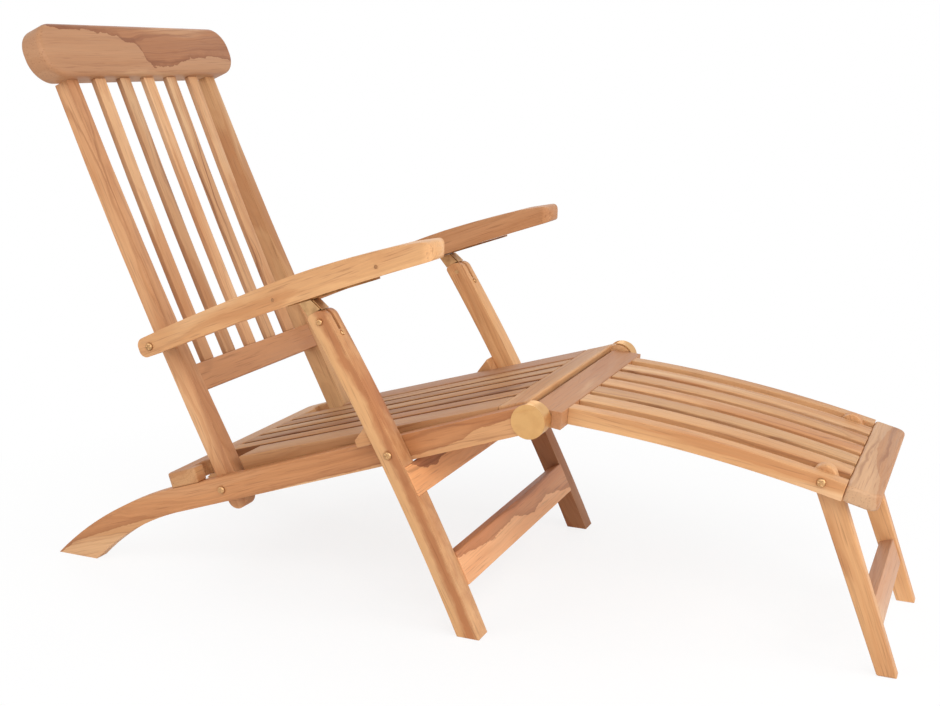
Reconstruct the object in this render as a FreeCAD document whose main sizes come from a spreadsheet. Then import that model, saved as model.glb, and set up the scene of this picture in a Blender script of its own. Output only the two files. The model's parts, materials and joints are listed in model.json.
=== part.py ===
"""Steamer deck chair in teak with brass fittings.

The sitter looks along +X and left is +Y. The side view is drawn in X and Z, and each
board is that outline given a width along Y. The origin is on the floor, under the middle
of the chair's length.
"""
import FreeCAD, Part
import math
import os
import re
import Sketcher

doc = FreeCAD.newDocument("steamer_deck_chair")
sheet = doc.addObject("Spreadsheet::Sheet", "Sizes")

# Driving dimensions, millimetres and degrees
SIZES = [
    ("hinge_x", 99.4, "footrest hinge axis, along the chair"),
    ("hinge_height", 355.8, "footrest hinge axis, above the floor"),
    ("seat_tilt", 18.75, "slope of the side rails"),
    ("rail_above", 24.6, "hinge axis to the rail's upper edge"),
    ("rail_below", 17.8, "hinge axis to the rail's lower edge"),
    ("rail_outer", 257.6, "middle of the chair to the rails' outer faces"),
    ("rail_width", 28, "thickness of a side rail"),
    ("rail_nose", 24.4, "front end of the rail ahead of the hinge axis"),
    ("rail_nose_lower", 15, "rounding under the front end"),
    ("rail_straight_top", 694, "straight part of the upper edge, behind the hinge"),
    ("rail_straight_under", 681, "straight part of the lower edge, behind the hinge"),
    ("rail_sweep_top", 663, "radius of the upper edge down to the rear foot"),
    ("rail_sweep_under", 483, "radius of the lower edge down to the rear foot"),
    ("rear_foot_heel", -819, "rear end of the rear foot"),
    ("rear_foot_toe", -734, "front end of the rear foot"),
    ("easing", 3, "rounding of the long edges of the wood"),
    ("joint_gap", 0.3, "gap beside a moving face"),
    ("running_fit", 0.05, "radial clearance of a pin"),
    ("cap_radius", 27.5, "brass cap on the rail's front end"),
    ("cap_wall", 2, "wall of the brass cap"),
    ("cap_top_angle", 101, "where the cap's rim ends on top"),
    ("cap_flat", 18, "flat top of the cap's face above the hinge"),
    ("cap_under_angle", 116, "where the cap's rim ends below"),
    ("seat_front_x", 88, "front edge of the seat"),
    ("seat_front_height", 381, "front edge of the seat above the floor"),
    ("seat_rise", 16.56, "slope of the slats of the seat"),
    ("seat_front_rail_depth", 52, "front cross rail, front to back"),
    ("seat_board", 22, "thickness of the front cross rail"),
    ("seat_front_undercut", 4, "front cross rail set back below"),
    ("slat_board", 18, "thickness of a seat slat"),
    ("slat_width", 43, "width of a slat"),
    ("slat_pitch", 58.8, "spacing of the slats"),
    ("side_slat_inner", 154.9, "inner edge of the wide side slats"),
    ("side_slat_gap", 2, "side slat to rail"),
    ("side_slat_bed", 4, "side slat's rear end down from the rail's upper edge"),
    ("rear_rail_bed", 0.05, "rear cross rail above the side rails"),
    ("rear_rail_depth", 54, "rear cross rail, front to back"),
    ("rear_rail_start", 642, "rear cross rail's front edge, behind the hinge"),
    ("rear_rail_corner", 14, "rounded corners of the rear cross rail"),
    ("rear_notch", 13, "depth of the rear cross rail's notches for the stiles"),
    ("batten_height", 20, "batten under the seat"),
    ("batten_depth", 38, "batten under the seat, front to back"),
    ("batten_ahead", 30, "batten ahead of the back pivot"),
    ("back_pivot_along", 589, "back pivot behind the hinge"),
    ("leg_pivot_along", 232.4, "leg pivot behind the hinge"),
    ("stile_outer", 228.6, "middle of the chair to the stiles' outer faces"),
    ("stile_width", 30, "thickness of a stile"),
    ("stile_length", 749, "back pivot to the foot of the headrest"),
    ("stile_lean", 27.6, "lean of the back at its pivot"),
    ("stile_head_lean", 22.8, "lean of the back at the headrest"),
    ("stile_sweep", 9062, "radius of the stiles"),
    ("stile_depth", 38, "depth of a stile at the pivot"),
    ("stile_head_depth", 27, "depth of a stile at the headrest"),
    ("stile_tail", 44, "stile below the pivot"),
    ("headrest_length", 580, "headrest, side to side"),
    ("headrest_height", 105, "headrest along the back"),
    ("headrest_board", 42, "thickness of the headrest"),
    ("headrest_ahead", 15, "headrest ahead of the stiles' middle"),
    ("headrest_corner", 48, "rounded ends of the headrest"),
    ("headrest_easing", 9, "rounded front edges of the headrest"),
    ("back_rail_start", 170, "foot of the lower back rail above the pivot"),
    ("back_rail_height", 49, "height of the lower back rail"),
    ("back_rail_board", 26, "thickness of the lower back rail"),
    ("back_slat_inset", 14, "middle of a back slat behind the rail's front face"),
    ("back_slat_board", 11, "thickness of a back slat"),
    ("back_slat_width", 30, "width of a back slat"),
    ("back_slat_pitch", 72.2, "spacing of the back slats"),
    ("arm_pivot_x", -576, "arm pivot, along the chair"),
    ("arm_pivot_height", 418, "arm pivot above the floor"),
    ("arm_slope", 21, "slope of the arms"),
    ("arm_behind", 24, "arm behind its pivot"),
    ("arm_ahead", 567, "arm ahead of its pivot"),
    ("arm_rear_over", 16.8, "arm above its pivot, rear end"),
    ("arm_rear_under", 16.9, "arm below its pivot, rear end"),
    ("arm_front_over", 14.4, "arm above its line, front end"),
    ("arm_front_under", 20, "arm below its line, front end"),
    ("arm_crown", 3387, "radius of the arm's top"),
    ("arm_hollow", 6393, "radius of the arm's underside"),
    ("arm_inner", 238, "middle of the chair to the arms' inner faces"),
    ("arm_outer_rear", 286, "middle of the chair to the arm's outer face, rear"),
    ("arm_outer_front", 300, "middle of the chair to the arm's outer face, front"),
    ("arm_rear_round", 14, "rounding of the arm's rear end"),
    ("arm_front_round", 13, "rounding of the arm's front end"),
    ("arm_front_corner", 18, "rounding of the arm's front corners, from above"),
    ("track_start", 286, "brass track ahead of the arm pivot"),
    ("track_end", 454, "front end of the brass track"),
    ("track_under_rear", 13.1, "track's lower face below the arm's line, rear"),
    ("track_under_front", 18.9, "track's lower face below the arm's line, front"),
    ("track_plate", 3, "thickness of the track"),
    ("track_width", 16, "width of the track"),
    ("track_notch", 11, "length of a notch in the track"),
    ("track_notch_pitch", 25, "spacing of the notches"),
    ("leg_inner", 259, "middle of the chair to the legs' inner faces"),
    ("leg_width", 36, "thickness of a leg"),
    ("leg_depth", 35, "depth of a leg"),
    ("leg_sweep", 4100, "radius of the front legs"),
    ("leg_head_corner", 7, "rounded rear corner of the leg's head"),
    ("catch_x", -241, "bolt in the leg's head, along the chair"),
    ("catch_below_arm", 56.6, "bolt in the leg's head below the arm's line"),
    ("leg_slot", 7.5, "width of the slot in the leg's head"),
    ("leg_slot_depth", 24, "slot below the bolt"),
    ("bar_under_pivot", 28, "leg crossbar below the leg pivot"),
    ("bar_height", 51, "height of the leg crossbar"),
    ("bar_board", 13, "thickness of the leg crossbar"),
    ("bar_proud", 1, "leg crossbar proud of the legs' front edges"),
    ("bar_side", 3, "leg crossbar short of the legs' outer faces"),
    ("stretcher_under_pivot", 215, "leg stretcher below the leg pivot"),
    ("stretcher_height", 57, "height of the leg stretcher"),
    ("stretcher_board", 26, "thickness of the leg stretcher"),
    ("stretcher_proud", 3, "stretcher proud of the legs' front edges"),
    ("stop_length", 34, "stop block along the rail"),
    ("stop_height", 33, "height of the stop block"),
    ("stop_thin_end", 13, "height of the stop block's thin end"),
    ("catch_rear", 16.5, "catch block behind its bolt"),
    ("catch_front", 9, "catch block ahead of its bolt"),
    ("catch_slant", 7, "catch block's top set back from its foot"),
    ("catch_width", 26, "width of the catch block"),
    ("catch_lug", 3, "thickness of the catch block's lug"),
    ("catch_over_bolt", 17.8, "underside of the catch block above the bolt"),
    ("lever_plate", 1.6, "thickness of the catch lever"),
    ("lever_width", 22, "width of the catch lever's thumb plate"),
    ("shaft_radius", 4, "pivot bolts"),
    ("head_radius", 9, "heads of the pivot bolts"),
    ("small_head_radius", 5.5, "heads of the bolts in the legs' heads"),
    ("head_height", 3.5, "height of the bolt heads"),
    ("nut_radius", 7, "nuts of the pivot bolts"),
    ("nut_height", 5, "thickness of the nuts"),
    ("hinge_pin_radius", 4, "footrest hinge pins"),
    ("hinge_eye_radius", 10.5, "eye of the footrest's hinge plate"),
    ("hinge_plate", 3, "thickness of the hinge plate"),
    ("hinge_plate_reach", 27, "hinge plate ahead of its axis"),
    ("footrest_x", 143, "footrest's first cross rail, front edge"),
    ("footrest_height", 367.8, "that edge above the floor"),
    ("footrest_board", 27, "depth of the footrest's side rails"),
    ("footrest_fall", 9.18, "slope of the footrest's middle"),
    ("footrest_bow", 5.2, "half of the footrest's turn from end to end"),
    ("footrest_reach", 429.5, "footrest between its cross rails"),
    ("footrest_sweep", 2370, "radius of the footrest"),
    ("footrest_outer", 194, "middle of the chair to the footrest's sides"),
    ("footrest_rail_width", 28, "thickness of the footrest's side rails"),
    ("footrest_slat_board", 15, "thickness of a footrest slat"),
    ("footrest_end_depth", 52, "footrest's end cross rail, front to back"),
    ("footrest_end_corner", 16, "rounded corners of the end cross rail"),
    ("toe_pivot_x", 531, "footrest leg pivot, along the chair"),
    ("toe_pivot_height", 298, "footrest leg pivot above the floor"),
    ("toe_foot_x", 640, "middle of the footrest leg's foot"),
    ("toe_foot_lean", 20.2, "lean of the footrest legs"),
    ("toe_depth", 36, "depth of a footrest leg at its pivot"),
    ("toe_foot_depth", 28, "depth of a footrest leg at the floor"),
    ("toe_width", 22, "thickness of a footrest leg"),
    ("toe_gap", 0.8, "footrest leg to side rail"),
    ("toe_bar_height", 43, "height of the footrest legs' crossbar"),
    ("toe_bar_board", 24, "thickness of the footrest legs' crossbar"),
    ("toe_bar_along", 226.5, "that crossbar below the pivot"),
]

# Sizes that follow from the others: the front legs pass through both of their bolts
FOLLOWING = [
    ("rail_middle", "(rail_above - rail_below) / 2", "hinge axis to the rail's middle line"),
    (
        "leg_pivot_x",
        "hinge_x - leg_pivot_along * cos(seat_tilt) - rail_middle * sin(seat_tilt)",
        "leg pivot, along the chair",
    ),
    (
        "leg_pivot_height",
        "hinge_height - leg_pivot_along * sin(seat_tilt) + rail_middle * cos(seat_tilt)",
        "leg pivot above the floor",
    ),
    (
        "catch_height",
        "arm_pivot_height + (catch_x - arm_pivot_x) * tan(arm_slope) - catch_below_arm",
        "bolt in the leg's head above the floor",
    ),
    (
        "leg_upper_lean",
        "atan((leg_pivot_x - catch_x) / (catch_height - leg_pivot_height)) / 1 deg",
        "lean of the line between the leg's bolts",
    ),
    (
        "leg_upper_turn",
        "28.64789 * sqrt((leg_pivot_x - catch_x) ^ 2 + (catch_height - leg_pivot_height) ^ 2) / leg_sweep",
        "half of the leg's turn between its bolts, degrees",
    ),
    ("leg_head_lean", "leg_upper_lean + leg_upper_turn", "lean of the leg at its head"),
    ("leg_pivot_lean", "leg_upper_lean - leg_upper_turn", "lean of the leg at its pivot"),
    (
        "leg_lower_turn",
        "28.64789 * leg_pivot_height / cos(leg_pivot_lean) / leg_sweep",
        "half of the leg's turn below its pivot, degrees",
    ),
    ("leg_foot_lean", "leg_pivot_lean - 2 * leg_lower_turn", "lean of the leg at the floor"),
    (
        "leg_foot_x",
        "leg_pivot_x + leg_pivot_height * tan(leg_pivot_lean - leg_lower_turn)",
        "middle of the front foot, along the chair",
    ),
]
CELLS = SIZES + [(name, "=" + formula, note) for name, formula, note in FOLLOWING]
NAMES = {name for name, number, note in CELLS}
for line, (name, number, note) in enumerate(CELLS, 1):
    sheet.set(f"A{line}", note)
    sheet.set(f"B{line}", str(number))
    sheet.setAlias(f"B{line}", name)
    sheet.recompute()
doc.recompute()


def bound(text):
    """The expression with every size taken from the sheet."""
    return re.sub(r"[a-z][a-z_]*", lambda word: "Sizes." + word[0] if word[0] in NAMES else word[0], str(text))


def value(text):
    """The present value of an expression."""
    return float(sheet.evalExpression(bound(text)))


def at(origin, slope, along, above):
    """The point along and above an origin, in directions turned up by slope."""
    x = f"({origin[0]}) + ({along}) * cos({slope}) - ({above}) * sin({slope})"
    z = f"({origin[1]}) + ({along}) * sin({slope}) + ({above}) * cos({slope})"
    return x, z


def leaning(origin, lean, up, ahead):
    """The point up and ahead of an origin, on a member that leans back by lean."""
    x = f"({origin[0]}) - ({up}) * sin({lean}) + ({ahead}) * cos({lean})"
    z = f"({origin[1]}) + ({up}) * cos({lean}) + ({ahead}) * sin({lean})"
    return x, z


def arc_between(start, end, radius, turn):
    """The arc of under half a circle from start to end that turns left or right."""
    chord = end - start
    half = chord.Length / 2
    rise = math.sqrt(max(radius * radius - half * half, 0))
    left = FreeCAD.Vector(-chord.y, chord.x, 0).normalize()
    centre = (start + end) / 2 + left * (rise if turn == "left" else -rise)
    circle = Part.Circle(centre, FreeCAD.Vector(0, 0, 1), radius)
    first, last = (start, end) if turn == "left" else (end, start)
    angles = [math.atan2(point.y - centre.y, point.x - centre.x) for point in (first, last)]
    if angles[1] < angles[0]:
        angles[1] += 2 * math.pi
    return Part.ArcOfCircle(circle, angles[0], angles[1])


def pin_down(sketch, kind, name, text, *places):
    """One dimension of a sketch, held by an expression."""
    index = sketch.addConstraint(Sketcher.Constraint(kind, *places, value(text)))
    sketch.renameConstraint(index, name)
    sketch.setExpression("Constraints." + name, bound(text))


def draw(body, name, plane, level, corners, bores=(), shift=None):
    """A closed outline of lines and arcs, with round bores, on one of the body's planes."""
    sketch = body.newObject("Sketcher::SketchObject", name)
    base = [feature for feature in body.Origin.OriginFeatures if feature.Role == plane][0]
    sketch.AttachmentSupport = [(base, "")]
    sketch.MapMode = "FlatFace"
    sketch.setExpression("AttachmentOffset.Base.z", bound(level))
    if shift is not None:
        sketch.setExpression("AttachmentOffset.Base.x", bound(shift))
    points = [FreeCAD.Vector(value(corner[0]), value(corner[1]), 0) for corner in corners]
    count = len(corners)
    starts = []
    for index, corner in enumerate(corners):
        here, there = points[index], points[(index + 1) % count]
        if len(corner) == 2:
            sketch.addGeometry(Part.LineSegment(here, there))
            starts.append(1)
        else:
            sketch.addGeometry(arc_between(here, there, value(corner[2]), corner[3]))
            starts.append(1 if corner[3] == "left" else 2)
    for index, corner in enumerate(corners):
        after = (index + 1) % count
        sketch.addConstraint(Sketcher.Constraint("Coincident", index, 3 - starts[index], after, starts[after]))
        pin_down(sketch, "DistanceX", f"across_{index}", corner[0], -1, 1, index, starts[index])
        pin_down(sketch, "DistanceY", f"up_{index}", corner[1], -1, 1, index, starts[index])
        if len(corner) > 2:
            pin_down(sketch, "Radius", f"bend_{index}", corner[2], index)
    for index, (x, z, radius) in enumerate(bores):
        centre = FreeCAD.Vector(value(x), value(z), 0)
        sketch.addGeometry(Part.Circle(centre, FreeCAD.Vector(0, 0, 1), value(radius)))
        pin_down(sketch, "DistanceX", f"bore_across_{index}", x, -1, 1, count + index, 3)
        pin_down(sketch, "DistanceY", f"bore_up_{index}", z, -1, 1, count + index, 3)
        pin_down(sketch, "Radius", f"bore_{index}", radius, count + index)
    return sketch


def new_body(label):
    """An empty body with its name."""
    body = doc.addObject("PartDesign::Body", label)
    body.Label = label
    return body


def pad(body, sketch, length):
    """The sketch given a thickness along its normal."""
    feature = body.newObject("PartDesign::Pad", "Pad")
    feature.Profile = sketch
    feature.setExpression("Length", bound(length))
    return feature


def cut(body, sketch, length):
    """A pocket against the sketch's normal, which has to take wood away."""
    doc.recompute()
    before = body.Shape.Volume
    feature = body.newObject("PartDesign::Pocket", "Pocket")
    feature.Profile = sketch
    feature.setExpression("Length", bound(length))
    doc.recompute()
    if feature.Shape.Volume > before - 0.01:
        raise ValueError(body.Label + ": a pocket cuts nothing")
    return feature


def fillet(body, test, radius):
    """Rounds the edges of the body's last feature that pass the test."""
    doc.recompute()
    base = body.Tip
    names = [f"Edge{index}" for index, edge in enumerate(base.Shape.Edges, 1) if test(edge)]
    if not names:
        raise ValueError(body.Label + ": no edge to round")
    feature = body.newObject("PartDesign::Fillet", "Fillet")
    feature.Base = (base, names)
    feature.setExpression("Radius", bound(radius))
    doc.recompute()
    return feature


def across_at(places):
    """Passes edges that run side to side through one of the points of the side view."""
    spots = [(value(place[0]), value(place[1])) for place in places]

    def test(edge):
        box = edge.BoundBox
        if box.XLength > 0.01 or box.ZLength > 0.01:
            return False
        return any(math.hypot(box.XMin - x, box.ZMin - z) < 0.05 for x, z in spots)

    return test


def board(label, corners, low, high, bores=(), rounded=()):
    """A board: an outline in the side view from low to high across the chair."""
    body = new_body(label)
    sketch = draw(body, label + "_outline", "XZ_Plane", f"-({high})", corners, bores)
    pad(body, sketch, f"({high}) - ({low})")
    for places, radius in rounded:
        fillet(body, across_at(places), radius)
    return body


def side_by_side(side, inner, outer):
    """The two faces of a piece on the sitter's left or right."""
    return (inner, outer) if side == "left" else (f"-({outer})", f"-({inner})")


def turned_pair(label, axis, profile):
    """Two equal turned pieces, one each side: radius and distance from the middle."""
    body = new_body(label)
    sketch = draw(body, label + "_profile", "XY_Plane", axis[1], profile, shift=axis[0])
    turn = body.newObject("PartDesign::Revolution", "Revolution")
    turn.Profile = sketch
    turn.ReferenceAxis = (sketch, ["V_Axis"])
    turn.Angle = 360
    doc.recompute()
    twin = body.newObject("PartDesign::Mirrored", "Mirrored")
    middle = [feature for feature in body.Origin.OriginFeatures if feature.Role == "XZ_Plane"][0]
    twin.Originals = [turn]
    twin.MirrorPlane = (middle, [""])
    body.Tip = twin
    doc.recompute()
    return body


def bolt_pair(label, axis, inner, outer, nut=False, head="head_radius"):
    """Pivot bolts with a domed head outside, and a nut inside where there is room for one."""
    low = f"{inner} - nut_height" if nut else inner
    profile = [("0", low)]
    if nut:
        profile += [("nut_radius", low), ("nut_radius", inner)]
    profile += [("shaft_radius", inner), ("shaft_radius", outer), (head, outer)]
    profile += [(f"{head} * 0.6", f"{outer} + head_height"), ("0", f"{outer} + head_height")]
    return turned_pair(label, axis, profile)


def ring_pair(label, axis, radius, inner, outer):
    """Washers or spacers round a pivot bolt."""
    bore = "shaft_radius + running_fit"
    return turned_pair(label, axis, [(bore, inner), (radius, inner), (radius, outer), (bore, outer)])


# Points that pieces share
HINGE = ("hinge_x", "hinge_height")
BACK_PIVOT = at(HINGE, "seat_tilt", "-back_pivot_along", "rail_middle")
LEG_PIVOT = ("leg_pivot_x", "leg_pivot_height")
ARM_PIVOT = ("arm_pivot_x", "arm_pivot_height")
CATCH_BOLT = ("catch_x", "catch_height")
TOE_PIVOT = ("toe_pivot_x", "toe_pivot_height")
SEAT_FRONT = ("seat_front_x", "seat_front_height")
RAIL_INNER = "rail_outer - rail_width"
BORE = "shaft_radius + running_fit"
SIDES = ("left", "right")


def side_rail(side):
    """A side rail with its curved rear foot."""
    top_front = at(HINGE, "seat_tilt", "rail_nose", "rail_above")
    low_front = at(HINGE, "seat_tilt", "rail_nose", "-rail_below")
    corners = [
        low_front,
        top_front,
        at(HINGE, "seat_tilt", "-rail_straight_top", "rail_above") + ("rail_sweep_top", "left"),
        ("rear_foot_heel", "0"),
        ("rear_foot_toe", "0", "rail_sweep_under", "right"),
        at(HINGE, "seat_tilt", "-rail_straight_under", "-rail_below"),
    ]
    bores = [
        HINGE + ("hinge_pin_radius + running_fit",),
        BACK_PIVOT + (BORE,),
        LEG_PIVOT + (BORE,),
    ]
    low, high = side_by_side(side, RAIL_INNER, "rail_outer")
    rounded = [([top_front], "rail_nose - 0.2"), ([low_front], "rail_nose_lower")]
    return board(f"side_rail_{side}", corners, low, high, bores, rounded)


def polar(radius, angle):
    """A point on a circle about the footrest hinge."""
    return f"hinge_x + ({radius}) * cos({angle})", f"hinge_height + ({radius}) * sin({angle})"


def brass_cap(side):
    """The brass cap: a disc outside the rail, flat-topped in front, and a rim round its end."""
    body = new_body(f"brass_cap_{side}")
    inner = "cap_radius - cap_wall"
    # The rim turns through more than half a circle, so each side of it is two arcs
    rim_outline = [
        polar(inner, "-cap_under_angle") + (inner, "left"),
        polar(inner, "0") + (inner, "left"),
        polar(inner, "cap_top_angle"),
        polar("cap_radius", "cap_top_angle") + ("cap_radius", "right"),
        polar("cap_radius", "0") + ("cap_radius", "right"),
        polar("cap_radius", "-cap_under_angle"),
    ]
    low, high = side_by_side(side, RAIL_INNER, "rail_outer")
    sketch = draw(body, "rim", "XZ_Plane", f"-({high})", rim_outline)
    pad(body, sketch, "rail_width")
    low, high = side_by_side(side, "rail_outer", "rail_outer + cap_wall / 2")
    disc = [
        polar("cap_radius", "0") + ("cap_radius", "left"),
        polar("cap_radius", "120") + ("cap_radius", "left"),
        polar("cap_radius", "240") + ("cap_radius", "left"),
    ]
    sketch = draw(body, "disc", "XZ_Plane", f"-({high})", disc)
    pad(body, sketch, "cap_wall / 2")
    low, high = side_by_side(side, "rail_outer + cap_wall / 2", "rail_outer + cap_wall")
    edge = "asin(cap_flat / cap_radius) / 1 deg"
    face = [
        polar("cap_radius", f"seat_tilt + 180 - {edge}") + ("cap_radius", "left"),
        polar("cap_radius", "seat_tilt + 270") + ("cap_radius", "left"),
        polar("cap_radius", f"seat_tilt + {edge}"),
    ]
    sketch = draw(body, "face", "XZ_Plane", f"-({high})", face)
    pad(body, sketch, "cap_wall / 2")
    doc.recompute()
    return body


def seat_front_rail():
    """The cross rail at the front of the seat, between the side rails."""
    depth = "seat_front_rail_depth"
    low_rear = at(SEAT_FRONT, "seat_rise", f"-{depth}", "-seat_board")
    low_front = at(SEAT_FRONT, "seat_rise", "-seat_front_undercut - seat_board * sin(seat_rise)", "-seat_board")
    corners = [SEAT_FRONT, at(SEAT_FRONT, "seat_rise", f"-{depth}", "0"), low_rear, low_front]
    return board("seat_front_rail", corners, f"-({RAIL_INNER})", RAIL_INNER, rounded=[([SEAT_FRONT], "easing")])


REAR_FOOT = at(HINGE, "seat_tilt", "-rear_rail_start", "rail_above + rear_rail_bed")
REAR_RISE = f"((seat_front_height - ({REAR_FOOT[1]})) * cos(seat_rise)"
REAR_RISE += f" - (seat_front_x - ({REAR_FOOT[0]})) * sin(seat_rise))"
REAR_BOARD = f"({REAR_RISE} / cos(seat_tilt - seat_rise))"
SEAT_REAR_TOP = at(REAR_FOOT, "seat_tilt", "0", REAR_BOARD)
SEAT_SLAT_FRONT = at(SEAT_FRONT, "seat_rise", "-seat_front_rail_depth", "0")


def seat_rear_rail():
    """The cross rail at the rear of the seat, on top of the side rails."""
    def point(along, above):
        return at(REAR_FOOT, "seat_tilt", f"-({along})", above)

    corners = [
        point("0", "0"),
        point("0", REAR_BOARD),
        point("rear_rail_depth", REAR_BOARD),
        point("rear_rail_depth", "0"),
    ]
    body = board("seat_rear_rail", corners, "-rail_outer", "rail_outer")
    notch = [
        point("-1", "-1"),
        point("-1", f"{REAR_BOARD} + 1"),
        point("rear_notch", f"{REAR_BOARD} + 1"),
        point("rear_notch", "-1"),
    ]
    for side in SIDES:
        low, high = side_by_side(side, "stile_outer - stile_width - 4", "stile_outer + 1")
        sketch = draw(body, "notch", "XZ_Plane", f"-({low})", notch)
        cut(body, sketch, f"({high}) - ({low})")
    rear = (value(corners[2][0]), value(corners[3][0]))
    side_level = value("rail_outer")
    thickness = value(REAR_BOARD)

    def rear_corner(edge):
        box = edge.BoundBox
        outer = abs(abs(box.YMin) - side_level) < 0.01 and box.YLength < 0.01
        return outer and abs(edge.Length - thickness) < 0.01 and box.XMin < max(rear) + 0.01

    fillet(body, rear_corner, "rear_rail_corner")
    return body


def seat_slat(number, low, high):
    """A slat from the rear cross rail to the front one."""
    lean = "seat_tilt - seat_rise"
    rear_low = (
        f"({SEAT_REAR_TOP[0]}) + slat_board / cos({lean}) * sin(seat_tilt)",
        f"({SEAT_REAR_TOP[1]}) - slat_board / cos({lean}) * cos(seat_tilt)",
    )
    corners = [SEAT_REAR_TOP, SEAT_SLAT_FRONT, at(SEAT_SLAT_FRONT, "seat_rise", "0", "-slat_board"), rear_low]
    return board(f"seat_slat_{number}", corners, low, high)


def side_slat(side):
    """The wide slat beside the rail, cut off in line with the stile behind it."""
    face = leaning(BACK_PIVOT, "stile_lean", "0", "stile_depth / 2 + 6")
    top = SEAT_SLAT_FRONT
    bed = at(HINGE, "seat_tilt", "0", "rail_above - side_slat_bed")

    def meeting(point, slope):
        """How far up the stile's front face a line through a point meets it."""
        rise = f"(({point[1]}) - ({face[1]}))"
        run = f"(({point[0]}) - ({face[0]}))"
        return f"(({rise} * cos({slope}) - {run} * sin({slope})) / cos({slope} - stile_lean))"

    up = meeting(top, "seat_rise")
    low_up = meeting(bed, "seat_tilt")
    corners = [
        leaning(face, "stile_lean", up, "0"),
        top,
        at(top, "seat_rise", "0", "-slat_board"),
        leaning(face, "stile_lean", low_up, "0"),
    ]
    low, high = side_by_side(side, "side_slat_inner", f"{RAIL_INNER} - side_slat_gap")
    return board(f"seat_side_slat_{side}", corners, low, high)


def seat_batten():
    """The batten under the rear ends of the slats, between the wide side slats."""
    offset = f"({BACK_PIVOT[0]}) + batten_ahead"
    run = f"(({offset}) - ({SEAT_SLAT_FRONT[0]}))"
    height = f"({SEAT_SLAT_FRONT[1]}) + {run} * tan(seat_rise) - slat_board / cos(seat_rise)"
    start = (offset, height)
    corners = [
        start,
        at(start, "seat_rise", "batten_depth", "0"),
        at(start, "seat_rise", "batten_depth", "-batten_height"),
        at(start, "seat_rise", "0", "-batten_height"),
    ]
    return board("seat_batten", corners, "-side_slat_inner", "side_slat_inner")


STILE_CHORD_LEAN = "(stile_lean + stile_head_lean) / 2"
STILE_HEAD = leaning(BACK_PIVOT, STILE_CHORD_LEAN, "stile_length", "0")


def back_stile(side):
    """A stile of the back, slightly curved and thinner at the top."""
    tail_rear = leaning(BACK_PIVOT, "stile_lean", "-stile_tail", "-stile_depth / 2")
    tail_front = leaning(BACK_PIVOT, "stile_lean", "-stile_tail", "stile_depth / 2")
    corners = [
        tail_rear,
        tail_front,
        leaning(BACK_PIVOT, "stile_lean", "0", "stile_depth / 2") + ("stile_sweep", "right"),
        leaning(STILE_HEAD, "stile_head_lean", "0", "stile_head_depth / 2"),
        leaning(STILE_HEAD, "stile_head_lean", "0", "-stile_head_depth / 2") + ("stile_sweep", "left"),
        leaning(BACK_PIVOT, "stile_lean", "0", "-stile_depth / 2"),
    ]
    bores = [BACK_PIVOT + (BORE,), ARM_PIVOT + (BORE,)]
    low, high = side_by_side(side, "stile_outer - stile_width", "stile_outer")
    rounded = [([tail_rear, tail_front], "stile_depth / 2 - 0.2")]
    return board(f"back_stile_{side}", corners, low, high, bores, rounded)


def headrest():
    """The thick headrest board across the tops of the stiles."""
    ahead = "headrest_board / 2 + headrest_ahead"
    behind = "headrest_ahead - headrest_board / 2"
    corners = [
        leaning(STILE_HEAD, "stile_head_lean", "0", ahead),
        leaning(STILE_HEAD, "stile_head_lean", "headrest_height", ahead),
        leaning(STILE_HEAD, "stile_head_lean", "headrest_height", behind),
        leaning(STILE_HEAD, "stile_head_lean", "0", behind),
    ]
    body = board("headrest", corners, "-headrest_length / 2", "headrest_length / 2")
    end = value("headrest_length / 2")
    thick = value("headrest_board")

    def corner(edge):
        box = edge.BoundBox
        return box.YLength < 0.01 and abs(abs(box.YMin) - end) < 0.01 and abs(edge.Length - thick) < 0.01

    fillet(body, corner, "headrest_corner")
    lean = math.radians(value("stile_head_lean"))
    head = (value(STILE_HEAD[0]), value(STILE_HEAD[1]))

    def of_face(place):
        """Passes the edges of the face at this depth."""
        face = value(place)

        def test(edge):
            where = [vertex.Point for vertex in edge.Vertexes]
            depths = [(p.x - head[0]) * math.cos(lean) + (p.z - head[1]) * math.sin(lean) for p in where]
            return all(abs(depth - face) < 0.05 for depth in depths)

        return test

    fillet(body, of_face(ahead), "headrest_easing")
    return body


def back_point(up, ahead):
    """A point of the back: up its curved middle line, and ahead of it."""
    turn = f"(({up}) / stile_length * (stile_lean - stile_head_lean))"
    on_line = leaning(BACK_PIVOT, f"(stile_lean - {turn} / 2)", up, "0")
    return leaning(on_line, f"(stile_lean - {turn})", "0", ahead)


BACK_FACE = "(stile_depth / 2 - (stile_depth - stile_head_depth) / 2 * back_rail_start / stile_length)"


def back_rail():
    """The lower cross rail of the back, flush with the fronts of the stiles."""
    top = "back_rail_start + back_rail_height"
    corners = [
        back_point("back_rail_start", BACK_FACE),
        back_point(top, f"{BACK_FACE} - 0.6"),
        back_point(top, f"{BACK_FACE} - 0.6 - back_rail_board"),
        back_point("back_rail_start", f"{BACK_FACE} - back_rail_board"),
    ]
    half = "stile_outer - stile_width"
    return board("back_rail", corners, f"-({half})", half)


def back_slat(number, middle):
    """A slat of the back, from the lower rail to the headrest."""
    centre = f"({BACK_FACE} - 0.6 - back_slat_inset)"
    low_up = "back_rail_start + back_rail_height"
    half = "back_slat_board / 2"
    corners = [
        back_point(low_up, f"{centre} + {half}") + ("stile_sweep", "right"),
        leaning(STILE_HEAD, "stile_head_lean", "0", f"headrest_ahead + {half}"),
        leaning(STILE_HEAD, "stile_head_lean", "0", f"headrest_ahead - {half}") + ("stile_sweep", "left"),
        back_point(low_up, f"{centre} - {half}"),
    ]
    low = f"{middle} - back_slat_width / 2"
    high = f"{middle} + back_slat_width / 2"
    return board(f"back_slat_{number}", corners, low, high)


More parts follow.
